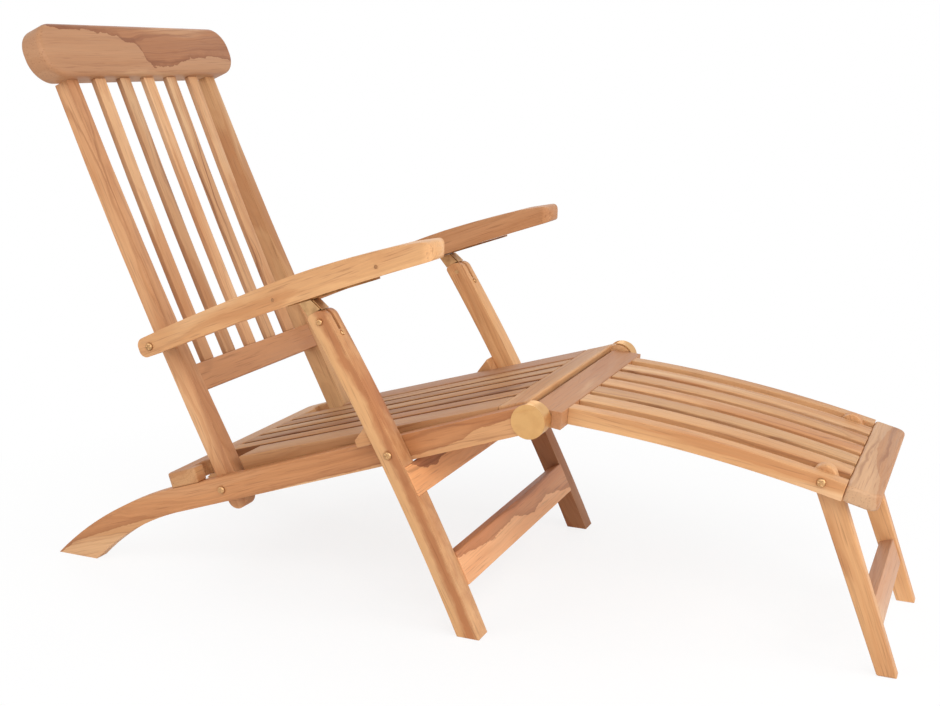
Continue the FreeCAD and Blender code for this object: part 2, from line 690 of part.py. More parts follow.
def arm_point(along, above):
    """A point of the arm: ahead of its pivot and above its line."""
    return at(ARM_PIVOT, "arm_slope", along, above)


def track_level(along, above):
    """A point above the lower face of the track."""
    fall = "(track_under_front - track_under_rear) / (track_end - track_start)"
    return arm_point(along, f"({above}) - track_under_rear - (({along}) - track_start) * {fall}")


def arm(side):
    """An arm: crowned above, hollow below, wider at the front, with the track's groove."""
    rear_low = arm_point("-arm_behind", "-arm_rear_under")
    front_low = arm_point("arm_ahead", "-arm_front_under")
    front_top = arm_point("arm_ahead", "arm_front_over")
    rear_top = arm_point("-arm_behind", "arm_rear_over")
    corners = [
        rear_low + ("arm_hollow", "right"),
        front_low,
        front_top + ("arm_crown", "left"),
        rear_top,
    ]
    low, high = side_by_side(side, "arm_inner", "arm_outer_front")
    rounded = [
        ([rear_low, rear_top], "arm_rear_round"),
        ([front_low, front_top], "arm_front_round"),
    ]
    body = board(f"arm_{side}", corners, low, high, [ARM_PIVOT + (BORE,)], rounded)
    way = "1" if side == "left" else "-1"
    bend = "right" if side == "left" else "left"
    unbend = "left" if side == "left" else "right"
    tip_x = arm_point("arm_ahead", "-arm_front_under / 3")[0]
    rear_x = arm_point("-arm_behind - 30", "0")[0]
    outer = "arm_outer_front"
    taper = [
        (rear_x, f"{way} * (arm_outer_rear - 0.75)"),
        (f"{tip_x} - arm_front_corner", f"{way} * {outer}", "arm_front_corner", bend),
        (f"{tip_x}", f"{way} * ({outer} - arm_front_corner)"),
        (f"{tip_x} + 40", f"{way} * ({outer} - arm_front_corner)"),
        (f"{tip_x} + 40", f"{way} * ({outer} + 20)"),
        (rear_x, f"{way} * ({outer} + 20)"),
    ]
    sketch = draw(body, "plan", "XY_Plane", "arm_pivot_height + arm_ahead", taper)
    cut(body, sketch, "2 * arm_ahead")
    corner = [
        (f"{tip_x} - arm_front_corner", f"{way} * arm_inner", "arm_front_corner", unbend),
        (f"{tip_x}", f"{way} * (arm_inner + arm_front_corner)"),
        (f"{tip_x} + 40", f"{way} * (arm_inner + arm_front_corner)"),
        (f"{tip_x} + 40", f"{way} * (arm_inner - 10)"),
        (f"{tip_x} - arm_front_corner", f"{way} * (arm_inner - 10)"),
    ]
    sketch = draw(body, "inner_corner", "XY_Plane", "arm_pivot_height + arm_ahead", corner)
    cut(body, sketch, "2 * arm_ahead")
    middle = "leg_inner + leg_width / 2"
    low, high = side_by_side(side, f"{middle} - track_width / 2 - 0.1", f"{middle} + track_width / 2 + 0.1")
    groove = [
        track_level("track_start - 0.5", "-12"),
        track_level("track_end + 0.5", "-12"),
        track_level("track_end + 0.5", "track_plate"),
        track_level("track_start - 0.5", "track_plate"),
    ]
    sketch = draw(body, "groove", "XZ_Plane", f"-({low})", groove)
    cut(body, sketch, f"({high}) - ({low})")
    return body


def arm_track(side):
    """The brass track with its notches, in the arm's groove."""
    corners = [
        track_level("track_start", "0"),
        track_level("track_end", "0"),
        track_level("track_end", "track_plate"),
        track_level("track_start", "track_plate"),
    ]
    middle = "leg_inner + leg_width / 2"
    low, high = side_by_side(side, f"{middle} - track_width / 2", f"{middle} + track_width / 2")
    body = board(f"arm_track_{side}", corners, low, high)
    slot_low, slot_high = side_by_side(side, f"{middle} - track_width / 4", f"{middle} + track_width / 4")
    for number in range(5):
        begin = f"track_start + 45 + {number} * track_notch_pitch"
        notch = [
            track_level(begin, "-1"),
            track_level(f"{begin} + track_notch", "-1"),
            track_level(f"{begin} + track_notch", "track_plate + 1"),
            track_level(begin, "track_plate + 1"),
        ]
        sketch = draw(body, "notch", "XZ_Plane", f"-({slot_low})", notch)
        cut(body, sketch, f"({slot_high}) - ({slot_low})")
    return body


def front_leg(side):
    """A front leg: curved, cut flat at the floor, with a slotted round head."""
    half = "leg_depth / 2"
    foot_half = f"({half}) / cos(leg_foot_lean)"
    head_front = leaning(CATCH_BOLT, "leg_head_lean", half, half)
    head_rear = leaning(CATCH_BOLT, "leg_head_lean", half, f"-{half}")
    corners = [
        (f"leg_foot_x + {foot_half}", "0", "leg_sweep", "left"),
        leaning(CATCH_BOLT, "leg_head_lean", "0", half),
        head_front,
        head_rear,
        leaning(CATCH_BOLT, "leg_head_lean", "0", f"-{half}") + ("leg_sweep", "right"),
        (f"leg_foot_x - {foot_half}", "0"),
    ]
    bores = [LEG_PIVOT + (BORE,), CATCH_BOLT + (BORE,)]
    low, high = side_by_side(side, "leg_inner", "leg_inner + leg_width")
    rounded = [([head_front], f"{half} - 0.2"), ([head_rear], "leg_head_corner")]
    body = board(f"front_leg_{side}", corners, low, high, bores, rounded)
    middle = "leg_inner + leg_width / 2"
    slot_low, slot_high = side_by_side(side, f"{middle} - leg_slot / 2", f"{middle} + leg_slot / 2")
    slot = [
        leaning(CATCH_BOLT, "leg_head_lean", "-leg_slot_depth", "-leg_depth"),
        leaning(CATCH_BOLT, "leg_head_lean", "-leg_slot_depth", "leg_depth"),
        leaning(CATCH_BOLT, "leg_head_lean", "leg_depth", "leg_depth"),
        leaning(CATCH_BOLT, "leg_head_lean", "leg_depth", "-leg_depth"),
    ]
    sketch = draw(body, "slot", "XZ_Plane", f"-({slot_low})", slot)
    cut(body, sketch, f"({slot_high}) - ({slot_low})")
    lap = crossbar_outline("0.05")
    lap_low, lap_high = side_by_side(side, "leg_inner - 1", "leg_inner + leg_width - bar_side")
    sketch = draw(body, "lap", "XZ_Plane", f"-({lap_low})", lap)
    cut(body, sketch, f"({lap_high}) - ({lap_low})")
    return body


def crossbar_outline(room):
    """The leg crossbar's section, let into the legs' front edges."""
    ahead = f"leg_depth / 2 + bar_proud + {room}"
    behind = f"leg_depth / 2 + bar_proud - bar_board - {room}"
    top = f"-bar_under_pivot + {room}"
    foot = f"-bar_under_pivot - bar_height - {room}"
    return [
        leaning(LEG_PIVOT, "leg_pivot_lean", foot, ahead),
        leaning(LEG_PIVOT, "leg_pivot_lean", top, ahead),
        leaning(LEG_PIVOT, "leg_pivot_lean", top, behind),
        leaning(LEG_PIVOT, "leg_pivot_lean", foot, behind),
    ]


def leg_crossbar():
    """The crossbar that stops the legs under the side rails."""
    half = "leg_inner + leg_width - bar_side - 0.05"
    return board("leg_crossbar", crossbar_outline("0"), f"-({half})", half)


def leg_stretcher():
    """The lower stretcher between the front legs."""
    turn = "(leg_pivot_lean - leg_foot_lean)"
    lean = f"(leg_pivot_lean - {turn} * 0.68)"
    ahead = "leg_depth / 2 + stretcher_proud"
    middle = leaning(LEG_PIVOT, f"(leg_pivot_lean - {turn} * 0.34)", "-stretcher_under_pivot", "0")
    corners = [
        leaning(middle, lean, "-stretcher_height / 2", ahead),
        leaning(middle, lean, "stretcher_height / 2", ahead),
        leaning(middle, lean, "stretcher_height / 2", f"{ahead} - stretcher_board"),
        leaning(middle, lean, "-stretcher_height / 2", f"{ahead} - stretcher_board"),
    ]
    places = [corners[0], corners[1]]
    return board("leg_stretcher", corners, "-leg_inner", "leg_inner", rounded=[(places, "easing")])


def stop_block(side):
    """The wedge behind a leg that lies on the side rail."""
    slack = "rail_above - (rail_above - rail_below) / 2 + joint_gap"
    skew = "(leg_pivot_lean - seat_tilt)"
    rear = "(leg_depth / 2 + 0.6)"

    def on_leg(above):
        """The point of the leg's rear edge at a height above the rail's middle line."""
        along = f"(-{rear} / cos{skew} - ({above}) * tan{skew})"
        return at(LEG_PIVOT, "seat_tilt", along, above)

    start = f"(-{rear} / cos{skew} - ({slack}) * tan{skew})"
    corners = [
        on_leg(f"{slack} + 6"),
        on_leg(f"{slack} + stop_height"),
        at(LEG_PIVOT, "seat_tilt", f"{start} - stop_length", f"{slack} + stop_thin_end"),
        at(LEG_PIVOT, "seat_tilt", f"{start} - stop_length", slack),
        at(LEG_PIVOT, "seat_tilt", f"{start} - 6", slack),
    ]
    low, high = side_by_side(side, "rail_outer - 24", "leg_inner + leg_width - 9")
    return board(f"stop_block_{side}", corners, low, high, rounded=[([corners[2]], "easing + 1")])


def under_track(ahead):
    """How far up the leg's lean the track's lower face is, less the gap, ahead of the bolt."""
    slope = "(arm_slope - 57.29578 * (track_under_front - track_under_rear) / (track_end - track_start))"
    track = track_level("track_start", "-joint_gap")
    foot = leaning(CATCH_BOLT, "leg_head_lean", "0", ahead)
    rise = f"(({track[1]}) - ({foot[1]})) * cos{slope} - (({track[0]}) - ({foot[0]})) * sin{slope}"
    return f"(({rise}) / cos(leg_head_lean - {slope}))"


def catch_block(side):
    """The brass block on the leg's head that carries the arm's track."""
    middle = "leg_inner + leg_width / 2"
    low, high = side_by_side(side, f"{middle} - catch_width / 2", f"{middle} + catch_width / 2")
    rear = "-catch_rear - catch_slant / 2"
    front = "catch_front - catch_slant"
    top_rear = leaning(CATCH_BOLT, "leg_head_lean", under_track(rear), rear)
    top_front = leaning(CATCH_BOLT, "leg_head_lean", under_track(front), front)
    corners = [
        leaning(CATCH_BOLT, "leg_head_lean", "catch_over_bolt", "-catch_rear"),
        leaning(CATCH_BOLT, "leg_head_lean", "catch_over_bolt", "catch_front"),
        top_front,
        top_rear,
    ]
    body = board(f"catch_block_{side}", corners, low, high)
    lug_low, lug_high = side_by_side(side, f"{middle} - catch_lug / 2", f"{middle} + catch_lug / 2")
    lug = [
        leaning(CATCH_BOLT, "leg_head_lean", "-9", "-9"),
        leaning(CATCH_BOLT, "leg_head_lean", "-9", "9"),
        leaning(CATCH_BOLT, "leg_head_lean", "catch_over_bolt", "9"),
        leaning(CATCH_BOLT, "leg_head_lean", "catch_over_bolt", "-9"),
    ]
    sketch = draw(body, "lug", "XZ_Plane", f"-({lug_high})", lug, [CATCH_BOLT + (BORE,)])
    pad(body, sketch, "catch_lug")
    fillet(body, across_at(lug[:2]), "8.8")
    return body


def catch_lever(side):
    """The brass thumb plate in front of the catch block, on the same bolt."""
    middle = "leg_inner + leg_width / 2"
    stem_face = f"{middle} + catch_lug / 2 + 0.2"
    low, high = side_by_side(side, stem_face, f"{stem_face} + lever_plate")
    near = "catch_front + joint_gap + 1"
    far = f"{near} + lever_plate"
    foot = "catch_over_bolt - 2"
    top = f"{under_track(f'{far} - catch_slant')} - 1"

    def point(up, ahead):
        return leaning(CATCH_BOLT, "leg_head_lean", up, ahead)

    stem = [
        point("-7", "-7"),
        point("-7", "7"),
        point(foot, far),
        point(f"{foot} + 1.5", far),
        point(f"{foot} + 1.5", near),
        point("7", "-7"),
    ]
    body = new_body(f"catch_lever_{side}")
    sketch = draw(body, "stem", "XZ_Plane", f"-({high})", stem, [CATCH_BOLT + (BORE,)])
    pad(body, sketch, "lever_plate")
    plate_low, plate_high = side_by_side(side, f"{middle} - lever_width / 2", f"{middle} + lever_width / 2")
    plate = [
        point(foot, near),
        point(foot, far),
        point(top, f"{far} - catch_slant"),
        point(top, f"{near} - catch_slant"),
    ]
    sketch = draw(body, "plate", "XZ_Plane", f"-({plate_high})", plate)
    pad(body, sketch, f"({plate_high}) - ({plate_low})")
    doc.recompute()
    return body


FOOTREST_START = ("footrest_x", "footrest_height")


def footrest_point(along, above):
    """A point of the footrest: along its curved top from the first cross rail, and above it."""
    share = f"(({along}) / footrest_reach)"
    start = "(footrest_fall - footrest_bow)"
    chord = f"({start} + footrest_bow * {share})"
    here = f"({start} + 2 * footrest_bow * {share})"
    on_line = at(FOOTREST_START, f"(-{chord})", along, "0")
    return at(on_line, f"(-{here})", "0", above)


def footrest_side_rail(side):
    """A side rail of the footrest, arched along its length."""
    corners = [
        footrest_point("0", "-footrest_board") + ("footrest_sweep", "right"),
        footrest_point("footrest_reach", "-footrest_board"),
        footrest_point("footrest_reach", "0") + ("footrest_sweep", "left"),
        footrest_point("0", "0"),
    ]
    low, high = side_by_side(side, "footrest_outer - footrest_rail_width", "footrest_outer")
    return board(f"footrest_side_rail_{side}", corners, low, high, [TOE_PIVOT + (BORE,)])


def footrest_slat(number, middle):
    """A slat of the footrest, arched like its sides."""
    corners = [
        footrest_point("0", "-footrest_slat_board") + ("footrest_sweep", "right"),
        footrest_point("footrest_reach", "-footrest_slat_board"),
        footrest_point("footrest_reach", "0") + ("footrest_sweep", "left"),
        footrest_point("0", "0"),
    ]
    low = f"{middle} - slat_width / 2"
    high = f"{middle} + slat_width / 2"
    return board(f"footrest_slat_{number}", corners, low, high)


def footrest_first_rail():
    """The cross rail that carries the footrest's hinge plates."""
    eye = "hinge_eye_radius"
    corners = [
        footrest_point("0", "0"),
        ("hinge_x - 7.5", "footrest_height + 4"),
        (f"hinge_x - {eye}", "hinge_height", f"{eye} + 0.001", "left"),
        ("hinge_x", f"hinge_height - {eye}"),
        footrest_point("0", "-footrest_board - 1.5"),
    ]
    half = f"{RAIL_INNER} - joint_gap - hinge_plate"
    return board("footrest_first_rail", corners, f"-({half})", half, [HINGE + (BORE,)])


def footrest_end_rail():
    """The cross rail at the end of the footrest, with rounded corners."""
    start = "footrest_reach"
    turn = "(footrest_fall + footrest_bow)"
    top = footrest_point(start, "0")
    corners = [
        footrest_point(start, "-footrest_board"),
        at(top, f"(-{turn})", "footrest_end_depth", "-footrest_board"),
        at(top, f"(-{turn})", "footrest_end_depth", "0"),
        top,
    ]
    body = board("footrest_end_rail", corners, "-footrest_outer", "footrest_outer")
    thick = value("footrest_board")
    front = (value(corners[1][0]) + value(corners[2][0])) / 2

    def corner(edge):
        box = edge.BoundBox
        return box.YLength < 0.01 and abs(edge.Length - thick) < 0.01 and abs(box.Center.x - front) < 3

    fillet(body, corner, "footrest_end_corner")
    return body


def hinge_plate(side):
    """The brass plate on the end of the footrest's first rail, with its eye."""
    eye = "hinge_eye_radius - 0.5"
    corners = [
        ("hinge_x", f"hinge_height + {eye}", f"{eye} + 0.001", "left"),
        (f"hinge_x - {eye}", "hinge_height", f"{eye} + 0.001", "left"),
        ("hinge_x", f"hinge_height - {eye}"),
        ("hinge_x + hinge_plate_reach", "hinge_height - hinge_eye_radius - 3"),
        ("hinge_x + hinge_plate_reach", "hinge_height + hinge_eye_radius - 2"),
    ]
    inner = f"{RAIL_INNER} - joint_gap - hinge_plate"
    low, high = side_by_side(side, inner, f"{inner} + hinge_plate")
    return board(f"hinge_plate_{side}", corners, low, high, [HINGE + (BORE,)])


def footrest_leg(side):
    """A leg of the footrest, round at its head and tapered to the floor."""
    half = "toe_depth / 2"
    foot_half = "toe_foot_depth / 2 / cos(toe_foot_lean)"
    head_front = leaning(TOE_PIVOT, "toe_foot_lean", half, half)
    head_rear = leaning(TOE_PIVOT, "toe_foot_lean", half, f"-{half}")
    corners = [
        (f"toe_foot_x + {foot_half}", "0"),
        leaning(TOE_PIVOT, "toe_foot_lean", f"-{half}", half),
        head_front,
        head_rear,
        leaning(TOE_PIVOT, "toe_foot_lean", f"-{half}", f"-{half}"),
        (f"toe_foot_x - {foot_half}", "0"),
    ]
    outer = "footrest_outer - footrest_rail_width - toe_gap"
    low, high = side_by_side(side, f"{outer} - toe_width", outer)
    rounded = [([head_front, head_rear], f"{half} - 0.2")]
    return board(f"footrest_leg_{side}", corners, low, high, [TOE_PIVOT + (BORE,)], rounded)


def footrest_leg_bar():
    """The crossbar between the footrest legs."""
    top = "-toe_bar_along + toe_bar_height / 2"
    foot = "-toe_bar_along - toe_bar_height / 2"
    half_board = "toe_bar_board / 2"
    corners = [
        leaning(TOE_PIVOT, "toe_foot_lean", foot, half_board),
        leaning(TOE_PIVOT, "toe_foot_lean", top, half_board),
        leaning(TOE_PIVOT, "toe_foot_lean", top, f"-{half_board}"),
        leaning(TOE_PIVOT, "toe_foot_lean", foot, f"-{half_board}"),
    ]
    half = "footrest_outer - footrest_rail_width - toe_gap - toe_width"
    return board("footrest_leg_bar", corners, f"-({half})", half)


def hardware():
    """Bolts, pins, washers and spacers."""
    leg_outer = "leg_inner + leg_width"
    bolt_pair("back_pivot_bolts", BACK_PIVOT, "stile_outer - stile_width - joint_gap", "rail_outer", nut=True)
    arm_face = "arm_outer_rear + (arm_outer_front - arm_outer_rear) * arm_behind / (arm_behind + arm_ahead)"
    bolt_pair("arm_pivot_bolts", ARM_PIVOT, "stile_outer - stile_width - joint_gap", f"({arm_face}) + joint_gap")
    bolt_pair("leg_pivot_bolts", LEG_PIVOT, f"{RAIL_INNER} - joint_gap", leg_outer, nut=True)
    bolt_pair("leg_head_bolts", CATCH_BOLT, "leg_inner", leg_outer, head="small_head_radius")
    toe_inner = "footrest_outer - footrest_rail_width - toe_gap - toe_width"
    bolt_pair("footrest_leg_bolts", TOE_PIVOT, toe_inner, "footrest_outer")
    ring_pair("back_pivot_washers", BACK_PIVOT, "11", "stile_outer", RAIL_INNER)
    ring_pair("leg_pivot_washers", LEG_PIVOT, "13", "rail_outer", "leg_inner")
    ring_pair("arm_spacers", ARM_PIVOT, "8", "stile_outer + joint_gap", "arm_inner")
    pin = [
        ("0", f"{RAIL_INNER} - joint_gap - hinge_plate - 20"),
        ("hinge_pin_radius", f"{RAIL_INNER} - joint_gap - hinge_plate - 20"),
        ("hinge_pin_radius", "rail_outer"),
        ("0", "rail_outer"),
    ]
    turned_pair("hinge_pins", HINGE, pin)


# The seat frame
for side in SIDES:
    side_rail(side)
    brass_cap(side)
    side_slat(side)
seat_front_rail()
seat_rear_rail()
seat_batten()
for number in range(5):
    middle = f"({number} - 2) * slat_pitch"
    seat_slat(number + 1, f"{middle} - slat_width / 2", f"{middle} + slat_width / 2")

# The back
for side in SIDES:
    back_stile(side)
back_rail()
headrest()
for number in range(5):
    back_slat(number + 1, f"({number} - 2) * back_slat_pitch")

# The arms and the front legs
for side in SIDES:
    arm(side)
    arm_track(side)
    front_leg(side)
    stop_block(side)
    catch_block(side)
    catch_lever(side)
leg_crossbar()
leg_stretcher()

# The footrest
for side in SIDES:
    footrest_side_rail(side)
    hinge_plate(side)
    footrest_leg(side)
footrest_first_rail()
footrest_end_rail()
footrest_leg_bar()
for number in range(5):
    footrest_slat(number + 1, f"({number} - 2) * slat_pitch")
hardware()
doc.recompute()

# The origin goes to the middle of the chair's length
bodies = [thing for thing in doc.Objects if thing.TypeId == "PartDesign::Body"]
whole = FreeCAD.BoundBox()
for body in bodies:
    whole.add(body.Shape.optimalBoundingBox(False))
middle = (whole.XMin + whole.XMax) / 2
for body in bodies:
    body.Placement.Base = FreeCAD.Vector(-middle, 0, 0)
doc.recompute()

for thing in doc.Objects:
    if "Invalid" in thing.State or "Error" in thing.State:
        raise ValueError(thing.Label + " failed: " + str(thing.State))
os.makedirs("parts", exist_ok=True)
for body in bodies:
    if body.Shape.isNull() or not body.Shape.isValid():
        raise ValueError(body.Label + " has no valid shape")
    body.Shape.exportStep(f"parts/{body.Label}.step")

print(f"{len(bodies)} pieces, overall {whole.XLength:.1f} x {whole.YLength:.1f} x {whole.ZLength:.1f} mm")
places = [("hinge", HINGE), ("back pivot", BACK_PIVOT), ("leg pivot", LEG_PIVOT)]
places += [("arm pivot", ARM_PIVOT), ("catch bolt", CATCH_BOLT), ("toe pivot", TOE_PIVOT)]
places += [("front foot", ("leg_foot_x", "0"))]
for name, place in places:
    print(f"{name}: x {value(place[0]) - middle:.3f}, z {value(place[1]):.3f}")
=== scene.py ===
"""Looks of the teak steamer deck chair: oiled wood with figure, brass fittings, studio floor."""

import json
import math

import bmesh
import bpy
import numpy as np
from mathutils import Euler, Matrix, Vector


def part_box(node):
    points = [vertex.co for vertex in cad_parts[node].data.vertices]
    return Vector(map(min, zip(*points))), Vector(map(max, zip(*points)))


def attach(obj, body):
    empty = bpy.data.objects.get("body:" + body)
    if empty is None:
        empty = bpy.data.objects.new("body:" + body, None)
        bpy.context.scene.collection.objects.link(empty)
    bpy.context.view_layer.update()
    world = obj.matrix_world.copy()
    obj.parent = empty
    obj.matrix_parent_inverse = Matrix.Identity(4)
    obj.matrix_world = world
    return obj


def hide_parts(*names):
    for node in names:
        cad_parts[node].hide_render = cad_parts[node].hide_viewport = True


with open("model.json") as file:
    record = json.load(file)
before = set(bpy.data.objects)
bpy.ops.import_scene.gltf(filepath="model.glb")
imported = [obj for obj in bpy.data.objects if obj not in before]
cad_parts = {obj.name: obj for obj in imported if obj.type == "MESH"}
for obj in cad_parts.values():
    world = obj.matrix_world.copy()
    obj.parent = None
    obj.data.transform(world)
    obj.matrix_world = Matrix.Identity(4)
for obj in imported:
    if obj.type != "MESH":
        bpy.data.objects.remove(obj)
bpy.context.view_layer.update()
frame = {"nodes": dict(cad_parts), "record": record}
nodes = frame["nodes"]
record = frame["record"]
bodies = {node: name for name, members in record["behaviour"]["bodies"].items() for node in members}
slots = {entry["node"]: entry["material_slot"] for entry in record["subparts"]}

# Slopes of the chair's members in the side view, degrees up towards the footrest
RAIL_SLOPE = 18.75
SEAT_SLOPE = 16.6
ARM_SLOPE = 21.0
BACK_SLOPE = 114.8
LEG_SLOPE = 118.0
FOOTREST_SLOPE = -9.2
FOOTREST_LEG_SLOPE = 110.2
CROSSWISE = None


def middle(node):
    """The centre of a node's box."""
    low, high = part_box(node)
    return [(one + other) / 2 for one, other in zip(low, high)]


def uphill(slope):
    """The way up a member's slope, in the side view."""
    return np.array([math.cos(math.radians(slope)), 0.0, math.sin(math.radians(slope))])


# Shader nodes

def new_group(name, inputs, outputs):
    """An empty shader node group with its sockets: (name, kind, default)."""
    group = bpy.data.node_groups.new(name, "ShaderNodeTree")
    for label, kind, default in inputs:
        socket = group.interface.new_socket(label, in_out="INPUT", socket_type=kind)
        if default is not None:
            socket.default_value = default
    for label, kind in outputs:
        group.interface.new_socket(label, in_out="OUTPUT", socket_type=kind)
    return group, group.nodes.new("NodeGroupInput"), group.nodes.new("NodeGroupOutput")


def fed(tree, socket, value):
    """Gives a socket its value, a link or a plain one."""
    if isinstance(value, (int, float, tuple)):
        socket.default_value = value
    else:
        tree.links.new(value, socket)


def math_node(tree, operation, first, second=None, clamp=False):
    """A Math node on links or plain numbers; gives its output."""
    node = tree.nodes.new("ShaderNodeMath")
    node.operation = operation
    node.use_clamp = clamp
    fed(tree, node.inputs[0], first)
    if second is not None:
        fed(tree, node.inputs[1], second)
    return node.outputs[0]


def vector_node(tree, operation, first, second=None):
    """A Vector Math node on links or three plain numbers."""
    node = tree.nodes.new("ShaderNodeVectorMath")
    node.operation = operation
    fed(tree, node.inputs[0], first)
    if second is not None:
        fed(tree, node.inputs[1], second)
    return node


def separated(tree, vector):
    """The three parts of a vector, by their names X, Y and Z."""
    node = tree.nodes.new("ShaderNodeSeparateXYZ")
    tree.links.new(vector, node.inputs[0])
    return node.outputs


def combined(tree, parts):
    """A vector of the named parts."""
    node = tree.nodes.new("ShaderNodeCombineXYZ")
    for label, part in parts.items():
        tree.links.new(part, node.inputs[label])
    return node.outputs[0]


def ranged(tree, value, low, high, start=0.0, end=1.0):
    """Map Range, clamped: low to high become start to end."""
    node = tree.nodes.new("ShaderNodeMapRange")
    tree.links.new(value, node.inputs["Value"])
    node.inputs["From Min"].default_value = low
    node.inputs["From Max"].default_value = high
    node.inputs["To Min"].default_value = start
    node.inputs["To Max"].default_value = end
    return node.outputs["Result"]


def mixed(tree, factor, first, second, blend="MIX"):
    """A colour mix; the colours are links or plain colours."""
    node = tree.nodes.new("ShaderNodeMix")
    node.data_type = "RGBA"
    node.blend_type = blend
    for index, value in ((0, factor), (6, first), (7, second)):
        fed(tree, node.inputs[index], value)
    return node.outputs[2]


def layered(tree, colour, mask, strength, over):
    """Mixes a colour over another where a mask is, by a strength that is a link or a number."""
    return mixed(tree, math_node(tree, "MULTIPLY", mask, strength), colour, over)


def grain_noise(tree, vector, stretch, detail=2.0, roughness=0.5):
    """Noise drawn out along the grain: stretch holds its waves per metre along each axis."""
    noise = tree.nodes.new("ShaderNodeTexNoise")
    tree.links.new(vector_node(tree, "MULTIPLY", vector, stretch).outputs[0], noise.inputs["Vector"])
    noise.inputs["Scale"].default_value = 1.0
    noise.inputs["Detail"].default_value = detail
    noise.inputs["Roughness"].default_value = roughness
    return noise.outputs["Fac"]


def moved(tree, vector, offset):
    """The vector with an offset added, a link or three numbers."""
    return vector_node(tree, "ADD", vector, offset).outputs[0]


# Shared surface effects

# How far the growth rings bend slowly and ripple finely, in metres
RING_BEND = 0.026
RING_RIPPLE = 0.003


def ring_distance(tree, place, parts):
    """The distance from the heart of the tree, bent slowly and rippled finely."""
    reach = vector_node(tree, "LENGTH", combined(tree, {"Y": parts["Y"], "Z": parts["Z"]}))
    bend = ranged(tree, grain_noise(tree, place, (1.9, 9.0, 9.0)), 0.2, 0.8, -RING_BEND, RING_BEND)
    ripple = grain_noise(tree, place, (15.0, 45.0, 45.0), detail=3.0)
    ripple = ranged(tree, ripple, 0.2, 0.8, -RING_RIPPLE, RING_RIPPLE)
    return math_node(tree, "ADD", math_node(tree, "ADD", reach.outputs["Value"], bend), ripple)


def make_teak_figure():
    """Teak as it lies in the log.

    X runs along the grain and Pith is the way from the tree's heart to the board. Colour zones,
    growth rings and streaks are noise over the distance from the heart and the place along the
    log, so they run straight on one face of a board and in long arches on the next.
    """
    group, into, out = new_group(
        "teak figure",
        [
            ("Vector", "NodeSocketVector", None),
            ("Pith", "NodeSocketVector", (0.0, 0.08, 0.03)),
            ("Light", "NodeSocketColor", (0.70, 0.40, 0.20, 1)),
            ("Warm", "NodeSocketColor", (0.52, 0.24, 0.10, 1)),
            ("Dark", "NodeSocketColor", (0.30, 0.12, 0.05, 1)),
            ("Pale", "NodeSocketColor", (0.84, 0.57, 0.33, 1)),
            ("Figure", "NodeSocketFloat", 0.5),
            ("Streaks", "NodeSocketFloat", 0.4),
            ("Heartwood", "NodeSocketFloat", 0.4),
            ("Sapwood", "NodeSocketFloat", 0.3),
            # How far the side faces of slats are darkened, as painted shade for the gaps between them
            ("Sawn sides", "NodeSocketFloat", 0.0),
        ],
        [("Color", "NodeSocketColor"), ("Roughness", "NodeSocketFloat"), ("Height", "NodeSocketFloat")],
    )
    given = into.outputs
    place = moved(group, given["Vector"], given["Pith"])
    parts = separated(group, place)
    log = combined(group, {"X": parts["X"], "Y": ring_distance(group, place, parts)})
    colour = given["Light"]
    # Waves per metre, offset, detail, noise where the layer starts and is full, strength, colour
    for stretch, offset, detail, start, full, strength, over in (
        # A slow drift of tone, then sapwood and heartwood with clear borders
        ((1.4, 20.0, 1.0), None, 2.0, 0.36, 0.66, 0.55, "Warm"),
        ((1.7, 19.0, 1.0), (7.3, 1.9, 4.0), 2.0, 0.54, 0.62, given["Sapwood"], "Pale"),
        ((2.1, 27.0, 1.0), (3.1, 4.7, 8.0), 3.0, 0.55, 0.60, given["Heartwood"], "Warm"),
        # Growth rings and a few dark lines
        ((0.9, 240.0, 1.0), None, 2.0, 0.50, 0.72, given["Figure"], "Warm"),
        ((1.6, 105.0, 1.0), (1.3, 9.1, 2.0), 2.0, 0.60, 0.72, given["Streaks"], "Dark"),
    ):
        vector = log if offset is None else moved(group, log, offset)
        mask = ranged(group, grain_noise(group, vector, stretch, detail), start, full)
        colour = layered(group, colour, mask, strength, given[over])
    # Fibre, open pores, and painted shade: the side faces of slats are darkened for the shade in the gaps
    # between them
    fibre = grain_noise(group, place, (9.0, 320.0, 320.0), detail=3.0, roughness=0.65)
    colour = mixed(group, 1.0, colour, ranged(group, fibre, 0.3, 0.7, 0.94, 1.05), "MULTIPLY")
    pore = ranged(group, grain_noise(group, place, (14.0, 420.0, 420.0), detail=1.0), 0.60, 0.72)
    colour = layered(group, colour, pore, 0.30, given["Dark"])
    normal = separated(group, group.nodes.new("ShaderNodeNewGeometry").outputs["Normal"])
    sides = ranged(group, math_node(group, "ABSOLUTE", normal["Y"]), 0.75, 0.97)
    colour = layered(group, colour, sides, given["Sawn sides"], given["Dark"])
    group.links.new(colour, out.inputs["Color"])
    group.links.new(ranged(group, fibre, 0.3, 0.7, 0.46, 0.60), out.inputs["Roughness"])
    height = math_node(group, "SUBTRACT", fibre, math_node(group, "MULTIPLY", pore, 1.4))
    group.links.new(height, out.inputs["Height"])
    return group


